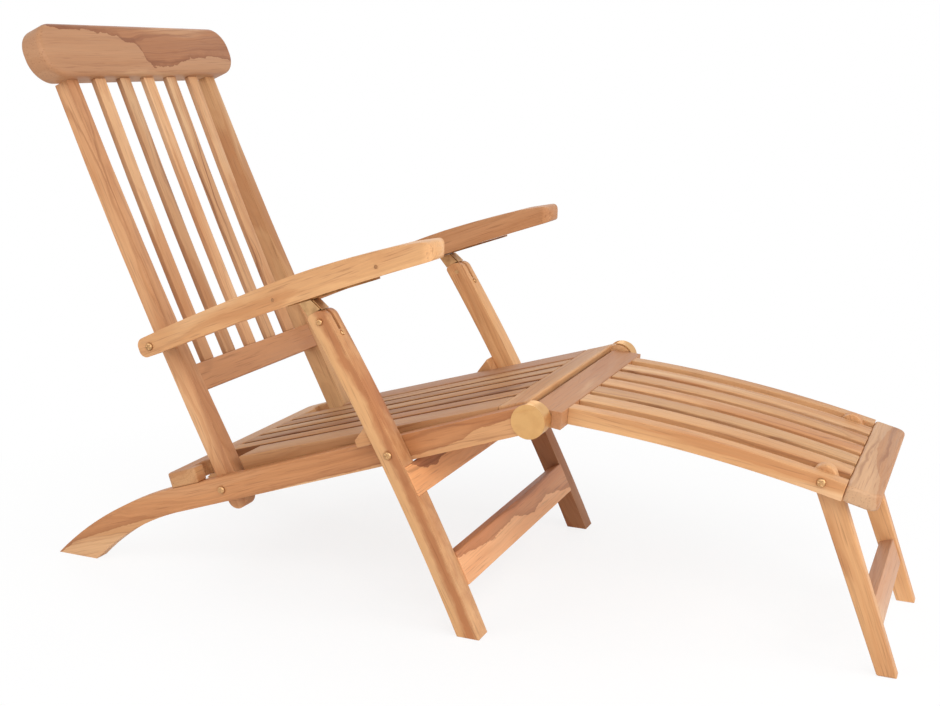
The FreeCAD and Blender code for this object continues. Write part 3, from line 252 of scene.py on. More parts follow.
def make_wandering_border():
    """The jagged border between two zones of a board, and the dark line that follows it."""
    group, into, out = new_group(
        "wandering border",
        [
            ("Vector", "NodeSocketVector", None),
            ("Across", "NodeSocketFloat", 0.0),
            ("Border", "NodeSocketFloat", 0.0),
            ("Wander", "NodeSocketFloat", 0.006),
            ("Softness", "NodeSocketFloat", 0.001),
            ("Line width", "NodeSocketFloat", 0.012),
        ],
        [("Mask", "NodeSocketFloat"), ("Line", "NodeSocketFloat")],
    )
    given = into.outputs
    jag = grain_noise(group, given["Vector"], (38.0, 70.0, 70.0), detail=4.0, roughness=0.6)
    jag = math_node(group, "MULTIPLY", math_node(group, "SUBTRACT", jag, 0.5), given["Wander"])
    past = math_node(group, "SUBTRACT", given["Across"], given["Border"])
    past = math_node(group, "ADD", past, jag)
    share = math_node(group, "ADD", math_node(group, "DIVIDE", past, given["Softness"]), 0.5)
    mask = math_node(group, "MULTIPLY", share, 1.0, clamp=True)
    group.links.new(mask, out.inputs["Mask"])
    fading = math_node(group, "DIVIDE", past, given["Line width"])
    fading = math_node(group, "SUBTRACT", 1.0, math_node(group, "MULTIPLY", fading, 1.0, clamp=True))
    group.links.new(math_node(group, "MULTIPLY", mask, fading), out.inputs["Line"])
    return group


def make_cast_metal():
    """Handled brass: cloudy tone, faint scratches and a little tarnish in patches."""
    group, into, out = new_group(
        "handled brass",
        [
            ("Vector", "NodeSocketVector", None),
            ("Bright", "NodeSocketColor", (0.80, 0.52, 0.20, 1)),
            ("Tarnish", "NodeSocketColor", (0.42, 0.24, 0.08, 1)),
            ("Age", "NodeSocketFloat", 0.4),
            ("Dullness", "NodeSocketFloat", 0.3),
        ],
        [("Color", "NodeSocketColor"), ("Roughness", "NodeSocketFloat"), ("Height", "NodeSocketFloat")],
    )
    given = into.outputs
    cloud = ranged(group, grain_noise(group, given["Vector"], (55.0, 55.0, 55.0), detail=3.0), 0.42, 0.72)
    colour = layered(group, given["Bright"], cloud, given["Age"], given["Tarnish"])
    group.links.new(colour, out.inputs["Color"])
    dull = math_node(group, "ADD", given["Dullness"], math_node(group, "MULTIPLY", cloud, 0.14))
    group.links.new(dull, out.inputs["Roughness"])
    group.links.new(grain_noise(group, given["Vector"], (60.0, 900.0, 240.0)), out.inputs["Height"])
    return group


TEAK = make_teak_figure()
BORDER = make_wandering_border()
BRASS = make_cast_metal()


# Materials

def dye(red, green, blue):
    """A colour from 0 to 255 as linear light."""
    shade = np.array([red, green, blue]) / 255
    linear = np.where(shade <= 0.04045, shade / 12.92, ((shade + 0.055) / 1.055) ** 2.4)
    return tuple(float(part) for part in linear) + (1,)


HONEY = dye(217, 166, 115)
WARM = dye(180, 116, 68)
HEART = dye(120, 66, 36)
SAP = dye(234, 195, 152)
RUSSET = dye(194, 140, 98)

BUMP_DISTANCE = 0.0004
TEAK_BUMP = 0.25
BRASS_BUMP = 0.08
TEAK_GLOSS = {"Specular IOR Level": 0.35}
BRASS_GLOSS = {"Metallic": 1.0}
HEARTWOOD = 0.45


def tinted(colour, factor):
    """The colour made lighter or darker."""
    return tuple(min(1.0, part * factor) for part in colour[:3]) + (1,)


def effect(tree, group, vector, values):
    """A shared effect placed in a material with this material's own values."""
    node = tree.nodes.new("ShaderNodeGroup")
    node.node_tree = group
    tree.links.new(vector, node.inputs["Vector"])
    for label, value in values.items():
        node.inputs[label].default_value = value
    return node


def surface(name, bump, gloss, turn=(0, 0, 0), centre=(0, 0, 0)):
    """A new material with its piece's own coordinates: X along the grain, origin at the centre."""
    material = bpy.data.materials.new(name)
    material.use_nodes = True
    tree = material.node_tree
    shader = tree.nodes["Principled BSDF"]
    coordinates = tree.nodes.new("ShaderNodeTexCoord")
    mapping = tree.nodes.new("ShaderNodeMapping")
    mapping.vector_type = "POINT"
    mapping.inputs["Location"].default_value = -(Euler(turn).to_matrix() @ Vector(centre))
    mapping.inputs["Rotation"].default_value = turn
    tree.links.new(coordinates.outputs["Object"], mapping.inputs["Vector"])
    relief = tree.nodes.new("ShaderNodeBump")
    relief.inputs["Strength"].default_value = bump
    relief.inputs["Distance"].default_value = BUMP_DISTANCE
    tree.links.new(relief.outputs["Normal"], shader.inputs["Normal"])
    for label, value in gloss.items():
        shader.inputs[label].default_value = value
    return material, tree, shader, relief, mapping.outputs["Vector"]


def covered(tree, shader, relief, colour, texture):
    """Gives a shader its colour, and the roughness and height of a shared effect."""
    tree.links.new(colour, shader.inputs["Base Color"])
    tree.links.new(texture.outputs["Roughness"], shader.inputs["Roughness"])
    tree.links.new(texture.outputs["Height"], relief.inputs["Height"])


def teak_surface(node, slope):
    """A material for a node, with X up its slope or, where it lies crosswise, side to side."""
    turn = (0.0, 0.0, math.radians(-90)) if slope is CROSSWISE else (0.0, math.radians(slope), 0.0)
    return surface("teak " + node.replace("_", " "), TEAK_BUMP, TEAK_GLOSS, turn, middle(node))


# The last value of board_values darkens the side faces of slats as painted shade for the gaps between
# them
def board_values(seed, tone, base, warm, figure, streaks, heartwood, sapwood, sides):
    """Where the board lay in its log, its colours and how strongly each feature shows."""
    away = 0.045 + 0.05 * (seed * 0.37 % 1)
    return {
        "Pith": (seed * 1.37 % 7.0, away * math.cos(seed * 2.4), away * math.sin(seed * 2.4)),
        "Light": tinted(base, tone),
        "Warm": tinted(warm, tone),
        "Dark": tinted(HEART, tone),
        "Pale": tinted(SAP, tone),
        "Figure": figure,
        "Streaks": streaks,
        "Heartwood": heartwood,
        "Sapwood": sapwood,
        "Sawn sides": sides,
    }


def teak(node, slope, seed, tone, base=HONEY, figure=0.3, streaks=0.25, sapwood=0.4, sides=0.0):
    """Teak for one board."""
    material, tree, shader, relief, vector = teak_surface(node, slope)
    values = board_values(seed, tone, base, WARM, figure, streaks, HEARTWOOD, sapwood, sides)
    wood = effect(tree, TEAK, vector, values)
    covered(tree, shader, relief, wood.outputs["Color"], wood)
    return material


# Free space over and under a border curve, and how softly a stripe ends
CURVE_MARGIN = 0.01
STRIPE_SOFTNESS = 0.010


def zone(base, warm, tone, sapwood, strength):
    """The wood of one zone; strength scales its figure, streaks and heartwood together."""
    return {
        "base": base,
        "warm": warm,
        "tone": tone,
        "sapwood": sapwood,
        "figure": 0.55 * strength,
        "streaks": 0.5 * strength,
        "heartwood": 0.5 * strength,
    }


def border_curve(tree, along, border):
    """How far across the border lies at each place along, drawn by a Float Curve with corners."""
    alongs, acrosses = zip(*border)
    begin, length = alongs[0], alongs[-1] - alongs[0]
    lowest, highest = min(acrosses) - CURVE_MARGIN, max(acrosses) + CURVE_MARGIN
    curve = tree.nodes.new("ShaderNodeFloatCurve")
    points = curve.mapping.curves[0].points
    stops = [((x - begin) / length, (y - lowest) / (highest - lowest)) for x, y in border]
    points[0].location = stops[0]
    points[1].location = stops[-1]
    for stop in stops[1:-1]:
        points.new(*stop)
    for point in points:
        point.handle_type = "VECTOR"
    curve.mapping.update()
    tree.links.new(ranged(tree, along, begin, alongs[-1]), curve.inputs["Value"])
    return ranged(tree, curve.outputs["Value"], 0.0, 1.0, lowest, highest)


def two_zone_teak(node, slope, seed, axis, border, below, above, wander, line, band):
    """Teak with two zones of colour that meet along a border curve.

    The border is a list of (along, across) in metres from the board's centre, with across along
    the named axis. below and above are the zones on each side of it. With a band, below is the
    stripe within that half width of the curve, and above is the rest.
    """
    material, tree, shader, relief, vector = teak_surface(node, slope)
    parts = separated(tree, vector)
    edge = border_curve(tree, parts["X"], border)
    meeting = effect(tree, BORDER, vector, {"Wander": wander})
    if band is None:
        tree.links.new(parts[axis], meeting.inputs["Across"])
        tree.links.new(edge, meeting.inputs["Border"])
    else:
        aside = math_node(tree, "ABSOLUTE", math_node(tree, "SUBTRACT", parts[axis], edge))
        tree.links.new(aside, meeting.inputs["Across"])
        meeting.inputs["Border"].default_value = band
        meeting.inputs["Softness"].default_value = STRIPE_SOFTNESS
    first, second = (
        effect(tree, TEAK, vector, board_values(seed, sides=0.0, **wood)) for wood in (below, above)
    )
    colour = mixed(tree, meeting.outputs["Mask"], first.outputs["Color"], second.outputs["Color"])
    colour = layered(tree, colour, meeting.outputs["Line"], line, HEART)
    covered(tree, shader, relief, colour, first)
    return material


def brass(name, bright, tarnish, age, dullness):
    """Brass for the fittings."""
    material, tree, shader, relief, vector = surface("brass " + name, BRASS_BUMP, BRASS_GLOSS)
    values = {"Bright": bright, "Tarnish": tarnish, "Age": age, "Dullness": dullness}
    metal = effect(tree, BRASS, vector, values)
    covered(tree, shader, relief, metal.outputs["Color"], metal)
    return material


# Own shapes: what the photograph shows beyond the CAD solid, as moves of its points in metres

# Up the back at its head in the side view, and the headrest's edges measured that way
UP_THE_BACK = np.array([-0.4195, 0.0, 0.9078])
HEADREST_FOOT = 1.0593
HEADREST_TOP = 1.1648
HEADREST_RAISE = 0.009
# Points this close to an end belong to it
END_REACH = 0.012


def slimmer_headrest(points):
    """The foot of the headrest rises: each point's distance from its top shrinks by one share."""
    height = points @ UP_THE_BACK
    share = HEADREST_RAISE / (HEADREST_TOP - HEADREST_FOOT)
    return points + np.outer((HEADREST_TOP - height) * share, UP_THE_BACK)


def up_to_headrest(points):
    """The head of a stile or slat follows the foot of the headrest up; the rest stays."""
    head = points @ UP_THE_BACK > HEADREST_FOOT - END_REACH
    return points + np.outer(head * HEADREST_RAISE, UP_THE_BACK)


ARM_INNER_FACE = 0.238
ARM_CLEARANCE = 0.0001
ARM_BOW = 0.0038
BOW_PLACE, BOW_REACH = 0.08, 0.12
ARM_FALL = 0.0045
NOSE_START, NOSE_LENGTH = 0.235, 0.050
STILL_BELOW, STILL_TO_TOP = 0.010, 0.030


def bowed_arm(points):
    """An arm whose top bows up ahead of its middle and falls away at the front.

    Along the arm the top rises as a bell curve and sinks with the square of the distance past
    the start of the nose. The share of the arm's height moves each point, so the underside stays.
    The inner face keeps a tenth of a millimetre from the spacers beside it.
    """
    ahead = uphill(ARM_SLOPE)
    upward = np.array([-ahead[2], 0.0, ahead[0]])
    place = points - np.array(middle("arm_right"))
    along, above = place @ ahead, place @ upward
    bow = ARM_BOW * np.exp(-((along - BOW_PLACE) / BOW_REACH) ** 2)
    fall = ARM_FALL * np.clip((along - NOSE_START) / NOSE_LENGTH, 0, 1) ** 2
    share = np.clip((above + STILL_BELOW) / STILL_TO_TOP, 0, 1)
    bowed = points + np.outer(share * (bow - fall), upward)
    aside = points[:, 1]
    bowed[:, 1] = np.sign(aside) * np.maximum(np.abs(aside), ARM_INNER_FACE + ARM_CLEARANCE)
    return bowed


SLAT_CUT = 0.0145


def shorter_slat(points):
    """A seat slat whose rear end stands clear of the stile."""
    along = points @ uphill(SEAT_SLOPE)
    return points + np.outer((along < along.min() + END_REACH) * SLAT_CUT, uphill(SEAT_SLOPE))


STILE_OUTER_FACE = 0.229
HORN_LENGTH = 0.0100


def longer_horns(points):
    """The rear cross rail reaches further forward at its ends, outside the stiles."""
    along = points @ uphill(RAIL_SLOPE)
    front = (np.abs(points[:, 1]) > STILE_OUTER_FACE) & (along > along.max() - END_REACH)
    return points + np.outer(front * HORN_LENGTH, uphill(RAIL_SLOPE))


OWN_SHAPES = {
    "headrest": slimmer_headrest,
    "back_stile_left": up_to_headrest,
    "back_stile_right": up_to_headrest,
    "arm_left": bowed_arm,
    "arm_right": bowed_arm,
    "seat_rear_rail": longer_horns,
    "seat_side_slat_left": shorter_slat,
    "seat_side_slat_right": shorter_slat,
}
OWN_SHAPES.update({f"back_slat_{number}": up_to_headrest for number in range(1, 6)})

BOLT_RADIUS = 0.0066


def slim_bolt(node):
    """A reshape that holds a bolt that runs side to side within a radius of its own axis."""
    centre = np.array(middle(node))[::2]

    def reshape(points):
        aside = points[:, ::2] - centre
        reach = np.linalg.norm(aside, axis=1, keepdims=True)
        aside = centre + aside * np.minimum(1.0, BOLT_RADIUS / np.maximum(reach, 1e-6))
        return np.stack([aside[:, 0], points[:, 1], aside[:, 1]], -1)

    return reshape


# Corners sharper than the first angle are rounded, and faces flat within the second are joined
EASED_FROM = 35
FLAT_WITHIN = 0.5
WELD_DISTANCE = 1e-6


def eased(node, radius, material, reshape, segments=3):
    """A copy of the CAD solid, welded, with rounded edges, in place of the node."""
    mesh = nodes[node].data.copy()
    mesh.name = node + "_eased"
    if reshape is not None:
        points = np.empty(len(mesh.vertices) * 3)
        mesh.vertices.foreach_get("co", points)
        mesh.vertices.foreach_set("co", reshape(points.reshape(-1, 3)).ravel())
    work = bmesh.new()
    work.from_mesh(mesh)
    bmesh.ops.remove_doubles(work, verts=work.verts, dist=WELD_DISTANCE)
    angle = math.radians(FLAT_WITHIN)
    bmesh.ops.dissolve_limit(work, angle_limit=angle, verts=work.verts, edges=work.edges)
    work.to_mesh(mesh)
    work.free()
    mesh.materials.clear()
    mesh.materials.append(material)
    for polygon in mesh.polygons:
        polygon.use_smooth = True
    piece = bpy.data.objects.new(node + ("_metal" if slots[node] == "brass" else "_wood"), mesh)
    bpy.context.scene.collection.objects.link(piece)
    bevel = piece.modifiers.new("easing", "BEVEL")
    bevel.width = radius
    bevel.segments = segments
    bevel.limit_method = "ANGLE"
    bevel.angle_limit = math.radians(EASED_FROM)
    bevel.miter_outer = "MITER_ARC"
    bevel.harden_normals = True
    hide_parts(node)
    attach(piece, bodies[node])


# Boards of one wood

BOARDS = [
    # node, slope, seed, tone, edge radius, base, sapwood
    ("side_rail_left", RAIL_SLOPE, 3, 0.92, 0.0030, HONEY, 0.30),
    ("seat_front_rail", CROSSWISE, 5, 0.87, 0.0030, HONEY, 0.20),
    ("seat_rear_rail", CROSSWISE, 7, 0.84, 0.0030, HONEY, 0.20),
    ("seat_batten", CROSSWISE, 9, 0.80, 0.0015, HONEY, 0.20),
    ("seat_side_slat_left", SEAT_SLOPE, 13, 0.80, 0.0020, RUSSET, 0.20),
    ("seat_side_slat_right", SEAT_SLOPE, 15, 0.78, 0.0020, HONEY, 0.10),
    ("back_stile_left", BACK_SLOPE, 17, 0.84, 0.0035, HONEY, 0.30),
    ("back_rail", CROSSWISE, 22, 0.84, 0.0020, dye(212, 152, 106), 0.00),
    ("arm_left", ARM_SLOPE, 23, 0.80, 0.0050, dye(217, 158, 110), 0.05),
    ("arm_right", ARM_SLOPE, 26, 1.01, 0.0050, HONEY, 0.35),
    ("stop_block_left", RAIL_SLOPE, 35, 0.90, 0.0020, HONEY, 0.20),
    ("stop_block_right", RAIL_SLOPE, 37, 0.95, 0.0020, HONEY, 0.20),
    ("footrest_first_rail", CROSSWISE, 39, 0.85, 0.0020, RUSSET, 0.30),
    ("footrest_side_rail_left", FOOTREST_SLOPE, 43, 0.88, 0.0025, HONEY, 0.20),
    ("footrest_side_rail_right", FOOTREST_SLOPE, 45, 0.99, 0.0025, HONEY, 0.50),
    ("footrest_leg_left", FOOTREST_LEG_SLOPE, 47, 1.00, 0.0025, HONEY, 0.25),
    ("footrest_leg_right", FOOTREST_LEG_SLOPE, 49, 0.97, 0.0025, HONEY, 0.30),
    ("footrest_leg_bar", CROSSWISE, 51, 0.96, 0.0020, dye(200, 160, 130), 0.50),
]
for node, slope, seed, tone, radius, base, sapwood in BOARDS:
    eased(node, radius, teak(node, slope, seed, tone, base, sapwood=sapwood), OWN_SHAPES.get(node))


# Boards whose two zones of colour show plainly

def zoned_board(node, slope, seed, axis, radius, wander, line, border, below, above, band=None):
    """A board of two zones: see two_zone_teak."""
    material = two_zone_teak(node, slope, seed, axis, border, below, above, wander, line, band)
    eased(node, radius, material, OWN_SHAPES.get(node))


zoned_board(
    "headrest", CROSSWISE, 53, axis="Z", radius=0.0035, wander=0.022, line=0.60,
    border=[
        (-0.300, 0.062), (-0.233, 0.049), (-0.146, 0.046), (-0.068, 0.036), (-0.058, 0.028),
        (-0.024, 0.025), (-0.012, 0.010), (-0.010, -0.008), (0.004, -0.016), (0.066, -0.019),
        (0.095, -0.011), (0.138, -0.002), (0.237, 0.001), (0.300, -0.012),
    ],
    below=zone(dye(188, 140, 102), dye(172, 120, 82), 0.96, 0.25, 0.6),
    above=zone(dye(176, 120, 80), dye(140, 86, 54), 0.96, 0.2, 1.5),
)
zoned_board(
    "back_stile_right", BACK_SLOPE, 20, axis="Z", radius=0.0035, wander=0.010, line=0.0, band=0.007,
    border=[
        (-0.440, -0.016), (-0.250, -0.013), (-0.100, -0.018), (0.080, -0.014), (0.250, -0.017),
        (0.440, -0.013),
    ],
    below=zone(dye(194, 138, 94), dye(164, 108, 70), 1.0, 0.0, 1.0),
    above=zone(dye(220, 172, 126), WARM, 1.02, 0.35, 0.8),
)
zoned_board(
    "front_leg_right", LEG_SLOPE, 30, axis="Z", radius=0.0030, wander=0.014, line=0.0, band=0.009,
    border=[
        (-0.320, 0.002), (-0.220, -0.007), (-0.050, -0.016), (0.060, -0.016), (0.130, -0.020),
        (0.200, -0.009), (0.290, -0.004),
    ],
    below=zone(dye(184, 122, 76), dye(160, 100, 60), 1.0, 0.0, 1.0),
    above=zone(dye(212, 158, 106), HONEY, 0.94, 0.3, 0.9),
)
zoned_board(
    "side_rail_right", RAIL_SLOPE, 11, axis="Z", radius=0.0030, wander=0.010, line=0.35,
    border=[
        (-0.520, -0.040), (-0.503, -0.030), (-0.469, -0.016), (-0.381, -0.010), (-0.290, -0.005),
        (-0.242, -0.007), (-0.200, -0.013), (-0.120, -0.010), (0.050, -0.002), (0.200, -0.001),
        (0.320, 0.004), (0.362, 0.010), (0.387, 0.019), (0.429, 0.022), (0.460, 0.026), (0.500, 0.030),
    ],
    below=zone(dye(206, 152, 104), dye(196, 142, 94), 0.97, 0.4, 1.0),
    above=zone(dye(198, 138, 90), dye(166, 104, 60), 1.0, 0.1, 1.0),
)
zoned_board(
    "leg_crossbar", CROSSWISE, 31, axis="Z", radius=0.0020, wander=0.014, line=0.30,
    border=[
        (-0.292, 0.034), (-0.250, 0.014), (-0.200, 0.004), (-0.150, 0.012), (-0.100, 0.020),
        (0.292, 0.000),
    ],
    below=zone(dye(230, 166, 112), dye(208, 140, 88), 1.0, 0.2, 0.8),
    above=zone(dye(184, 122, 82), dye(158, 98, 62), 1.0, 0.1, 1.0),
)
zoned_board(
    "leg_stretcher", CROSSWISE, 33, axis="Z", radius=0.0025, wander=0.014, line=0.25,
    border=[
        (-0.260, 0.022), (-0.120, 0.010), (-0.020, 0.014), (0.060, -0.002), (0.140, 0.006),
        (0.260, -0.014),
    ],
    below=zone(dye(222, 166, 120), dye(204, 144, 100), 1.12, 0.2, 0.8),
    above=zone(dye(194, 132, 90), dye(166, 108, 70), 1.12, 0.1, 1.0),
)
zoned_board(
    "footrest_end_rail", CROSSWISE, 41, axis="Y", radius=0.0060, wander=0.008, line=0.15,
    border=[(-0.194, -0.020), (-0.110, -0.016), (-0.050, -0.004), (0.060, 0.004), (0.194, -0.006)],
    below=zone(dye(190, 140, 100), dye(166, 114, 76), 0.94, 0.1, 1.0),
    above=zone(dye(208, 166, 128), dye(190, 142, 102), 0.94, 0.3, 0.8),
)
# The far front leg's lower zone is darker as painted shade, for the shade under the footrest; the upper
# zone is plain teak
zoned_board(
    "front_leg_left", LEG_SLOPE, 27, axis="X", radius=0.0030, wander=0.060, line=0.0,
    border=[(-0.320, -0.020), (0.320, -0.020)],
    below=zone(dye(156, 98, 58), dye(132, 80, 46), 1.0, 0.1, 1.0),
    above=zone(HONEY, WARM, 1.0, 0.25, 0.8),
)

# Slats differ from each other in tone, as sawn boards do, and their side faces are darkened as painted
# shade for the gaps between them
SLAT_TONES = (0.98, 0.84, 1.02, 0.90, 0.96)
SLAT_EDGE = 0.0020
for number, tone in enumerate(SLAT_TONES, 1):
    for part, slope, seed, share, sides, figure, base in (
        ("seat_slat", SEAT_SLOPE, 60, 0.80, 0.80, 0.85, dye(216, 158, 98)),
        ("back_slat", BACK_SLOPE, 80, 0.98, 0.30, 0.45, dye(219, 170, 124)),
        ("footrest_slat", FOOTREST_SLOPE, 100, 0.95, 0.25, 0.40, HONEY),
    ):
        node = f"{part}_{number}"
        wood = teak(node, slope, seed + 3 * number, share * tone, base, figure, streaks=0.7, sides=sides)
        eased(node, SLAT_EDGE, wood, OWN_SHAPES.get(node))


# Fittings

FITTINGS = brass("fittings", dye(200, 158, 112), dye(140, 102, 66), 0.6, 0.42)
CAPS = brass("caps", dye(214, 168, 112), dye(184, 138, 84), 0.3, 0.44)
PLUG = teak("arm_right", CROSSWISE, 71, 0.62)
# The arm tracks' brass is darkened to the brown of the shaded wood under the arms: painted shade
SHADE_TONED_TRACKS = brass("tracks", dye(176, 128, 80), dye(112, 76, 44), 0.5, 0.5)
for node, thing in nodes.items():
    if slots[node] == "brass":
        finish = FITTINGS
        if node.startswith("brass_cap"):
            finish = CAPS
        if node.startswith("arm_track"):
            finish = SHADE_TONED_TRACKS
        thing.data.materials.clear()
        thing.data.materials.append(finish)


def polar_grid(rings, spokes):
    """Share of the radius and angle over rings from the middle to the rim."""
    angles = np.linspace(0, 2 * np.pi, spokes + 1)[:-1]
    return np.meshgrid(np.linspace(0, 1, rings), angles, indexing="ij")


def button(name, points, material, node):
    """A closed round piece that rides with a node's body.

    points is a grid of rings by spokes, from the middle to the rim; one flat face closes the
    back. Every face but that one is shaded smooth.
    """
    rings, spokes = points.shape[:2]
    ring, step = np.meshgrid(np.arange(rings - 1), np.arange(spokes), indexing="ij")
    here, beside = ring * spokes + step, ring * spokes + (step + 1) % spokes
    faces = np.stack([here, here + spokes, beside + spokes, beside], -1).reshape(-1, 4).tolist()
    rim = list(range((rings - 1) * spokes, rings * spokes))
    mesh = bpy.data.meshes.new(name)
    mesh.from_pydata(points.reshape(-1, 3).tolist(), [], faces + [rim])
    work = bmesh.new()
    work.from_mesh(mesh)
    bmesh.ops.remove_doubles(work, verts=work.verts, dist=WELD_DISTANCE / 10)
    bmesh.ops.recalc_face_normals(work, faces=work.faces)
    work.to_mesh(mesh)
    work.free()
    mesh.materials.append(material)
    for polygon in mesh.polygons:
        polygon.use_smooth = len(polygon.vertices) <= 4
    piece = bpy.data.objects.new(name, mesh)
    bpy.context.scene.collection.objects.link(piece)
    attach(piece, bodies[node])


# Driver slot: depth in metres, then half width, flank, reach and end as shares of the radius
DRIVER_DEPTH = 0.0014
DRIVER_HALF_WIDTH, DRIVER_FLANK = 0.19, 0.07
DRIVER_REACH, DRIVER_END = 0.72, 0.08


def domed_head(name, node, centre, outward, radius, rise, turn):
    """A screw head with a crossed driver slot: centre is the middle of its rim.

    In polar rings the height falls from the middle to the rim as a quarter wave of the radius,
    so the rim meets the wood, less a slot: a smooth step of the distance from two crossed lines.
    """
    share, angle = polar_grid(19, 48)
    first, second = share * np.cos(angle), share * np.sin(angle)
    narrow = np.minimum(np.abs(first), np.abs(second))
    slot = np.clip((DRIVER_HALF_WIDTH - narrow) / DRIVER_FLANK, 0, 1)
    slot = slot * np.clip((DRIVER_REACH - share) / DRIVER_END, 0, 1)
    height = np.cos(share ** 2.4 * np.pi / 2) ** 0.62 * rise - slot * DRIVER_DEPTH
    outward = np.array(outward)
    aside = np.cross(outward, (0.1, 0.0, 1.0))
    aside = aside / np.linalg.norm(aside)
    upward = np.cross(aside, outward)
    one = aside * math.cos(turn) + upward * math.sin(turn)
    other = upward * math.cos(turn) - aside * math.sin(turn)
    flat = radius * (first[..., None] * one + second[..., None] * other)
    points = np.array(centre) + flat + height[..., None] * outward
    button(name, points, FITTINGS, node)


# Height of the CAD's bolt heads, how far the domed heads stand over them, and the bolts' edges
HEAD_HEIGHT = 0.0034
HEAD_OVER = 0.0012
BOLT_EDGE = 0.0003


def bolt_heads(node, radius, turn):
    """The heads over both ends of a bolt that runs side to side."""
    low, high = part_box(node)
    for side, crown, name in ((-1, low[1], "right"), (1, high[1], "left")):
        centre = ((low[0] + high[0]) / 2, crown - side * HEAD_HEIGHT, (low[2] + high[2]) / 2)
        rise = HEAD_HEIGHT + HEAD_OVER
        domed_head(f"{node}_head_{name}", node, centre, (0, side, 0), radius, rise, turn + side)


PLUG_RADIUS = 0.0030
PLUG_DOME = 0.0009
PLUG_SINK = 0.00087


def arm_plug(side, centre_x, centre_z):
    """A wood plug over a screw in the arm's outer side: a low dome of polar rings, darker wood."""
    arm = "arm_right" if side < 0 else "arm_left"
    low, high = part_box(arm)
    outer = low[1] if side < 0 else high[1]
    share, angle = polar_grid(7, 24)
    rise = PLUG_DOME * (1 - share ** 4) - PLUG_SINK
    points = np.stack([
        centre_x + PLUG_RADIUS * share * np.cos(angle),
        outer + side * rise,
        centre_z + PLUG_RADIUS * share * np.sin(angle),
    ], -1)
    button(f"{arm}_plug_{round(abs(centre_x) * 1000)}", points, PLUG, arm)


# Ahead of the arm's bolt and up from it
PLUG_PLACES = ((0.252, 0.102), (0.437, 0.168))
arm_bolt = middle("arm_pivot_bolts")
for side in (-1, 1):
    for ahead, up in PLUG_PLACES:
        arm_plug(side, arm_bolt[0] + ahead, arm_bolt[2] + up)

# Bolt, radius of its heads, turn of their slots in radians
for node, radius, turn in (
    ("leg_pivot_bolts", 0.0072, 0.4),
    ("back_pivot_bolts", 0.0072, 0.9),
    ("arm_pivot_bolts", 0.0072, 0.2),
    ("leg_head_bolts", 0.0058, 0.6),
    ("footrest_leg_bolts", 0.0072, 0.1),
):
    if radius > BOLT_RADIUS:
        eased(node, BOLT_EDGE, FITTINGS, slim_bolt(node), 1)
    bolt_heads(node, radius, turn)

# From the middle of the leg up and out to its front face
SCREW_UP, SCREW_OUT = 0.239, 0.0170
SCREW_RADIUS, SCREW_RISE, SCREW_TURN = 0.0050, 0.0026, 0.3


def slot_screws():
    """The small screw at the foot of each leg head's slot, on the leg's front."""
    up_leg = uphill(LEG_SLOPE)
    ahead = np.array([up_leg[2], 0.0, -up_leg[0]])
    for name in ("right", "left"):
        leg = "front_leg_" + name
        centre = np.array(middle(leg)) + SCREW_UP * up_leg + SCREW_OUT * ahead
        domed_head(f"slot_screw_{name}", leg, centre, ahead, SCREW_RADIUS, SCREW_RISE, SCREW_TURN)


slot_screws()


# Studio

WHITE = (1, 1, 1, 1)
FLOOR_GREY = (0.96, 0.96, 0.96, 1)
# From the first reach to the second, in metres, the floor goes from part white to all white
WHITE_REACHES = (0.40, 1.25)
WHITE_SHARES = (0.80, 1.0)
FLOOR_REACH = 9
FLOOR_CELLS = 8
FLOOR_DROP = 0.0005


def floor_material():
    """Pale and matt under the chair, where its shadow falls, and plain white farther out."""
    material = bpy.data.materials.new("studio floor")
    material.use_nodes = True
    tree = material.node_tree
    shader = tree.nodes["Principled BSDF"]
    shader.inputs["Base Color"].default_value = FLOOR_GREY
    shader.inputs["Roughness"].default_value = 0.9
    shader.inputs["Specular IOR Level"].default_value = 0.0
    white = tree.nodes.new("ShaderNodeEmission")
    white.inputs["Color"].default_value = WHITE
    white.inputs["Strength"].default_value = 1.0
    coordinates = tree.nodes.new("ShaderNodeTexCoord")
    reach = vector_node(tree, "LENGTH", coordinates.outputs["Object"])
    away = ranged(tree, reach.outputs["Value"], *WHITE_REACHES, *WHITE_SHARES)
    seen = tree.nodes.new("ShaderNodeLightPath")
    share = math_node(tree, "MULTIPLY", away, seen.outputs["Is Camera Ray"])
    blend = tree.nodes.new("ShaderNodeMixShader")
    tree.links.new(share, blend.inputs[0])
    tree.links.new(shader.outputs[0], blend.inputs[1])
    tree.links.new(white.outputs[0], blend.inputs[2])
    tree.links.new(blend.outputs[0], tree.nodes["Material Output"].inputs["Surface"])
    return material


def floor():
    """A wide level sheet under the feet, as a grid of two parameters."""
    places = np.linspace(-FLOOR_REACH, FLOOR_REACH, FLOOR_CELLS + 1)
    across, along = np.meshgrid(places, places)
    points = np.stack([across, along, np.full(across.shape, -FLOOR_DROP)], -1)
    numbers = np.arange(across.size).reshape(across.shape)
    corners = [numbers[:-1, :-1], numbers[:-1, 1:], numbers[1:, 1:], numbers[1:, :-1]]
    mesh = bpy.data.meshes.new("studio_floor")
    mesh.from_pydata(points.reshape(-1, 3).tolist(), [], np.stack(corners, -1).reshape(-1, 4).tolist())
    mesh.materials.append(floor_material())
    sheet = bpy.data.objects.new("studio_floor", mesh)
    bpy.context.scene.collection.objects.link(sheet)


# Strength of the sky as light, and as the camera, gloss and glass see it
SKY_STRENGTHS = (0.55, 1.0)


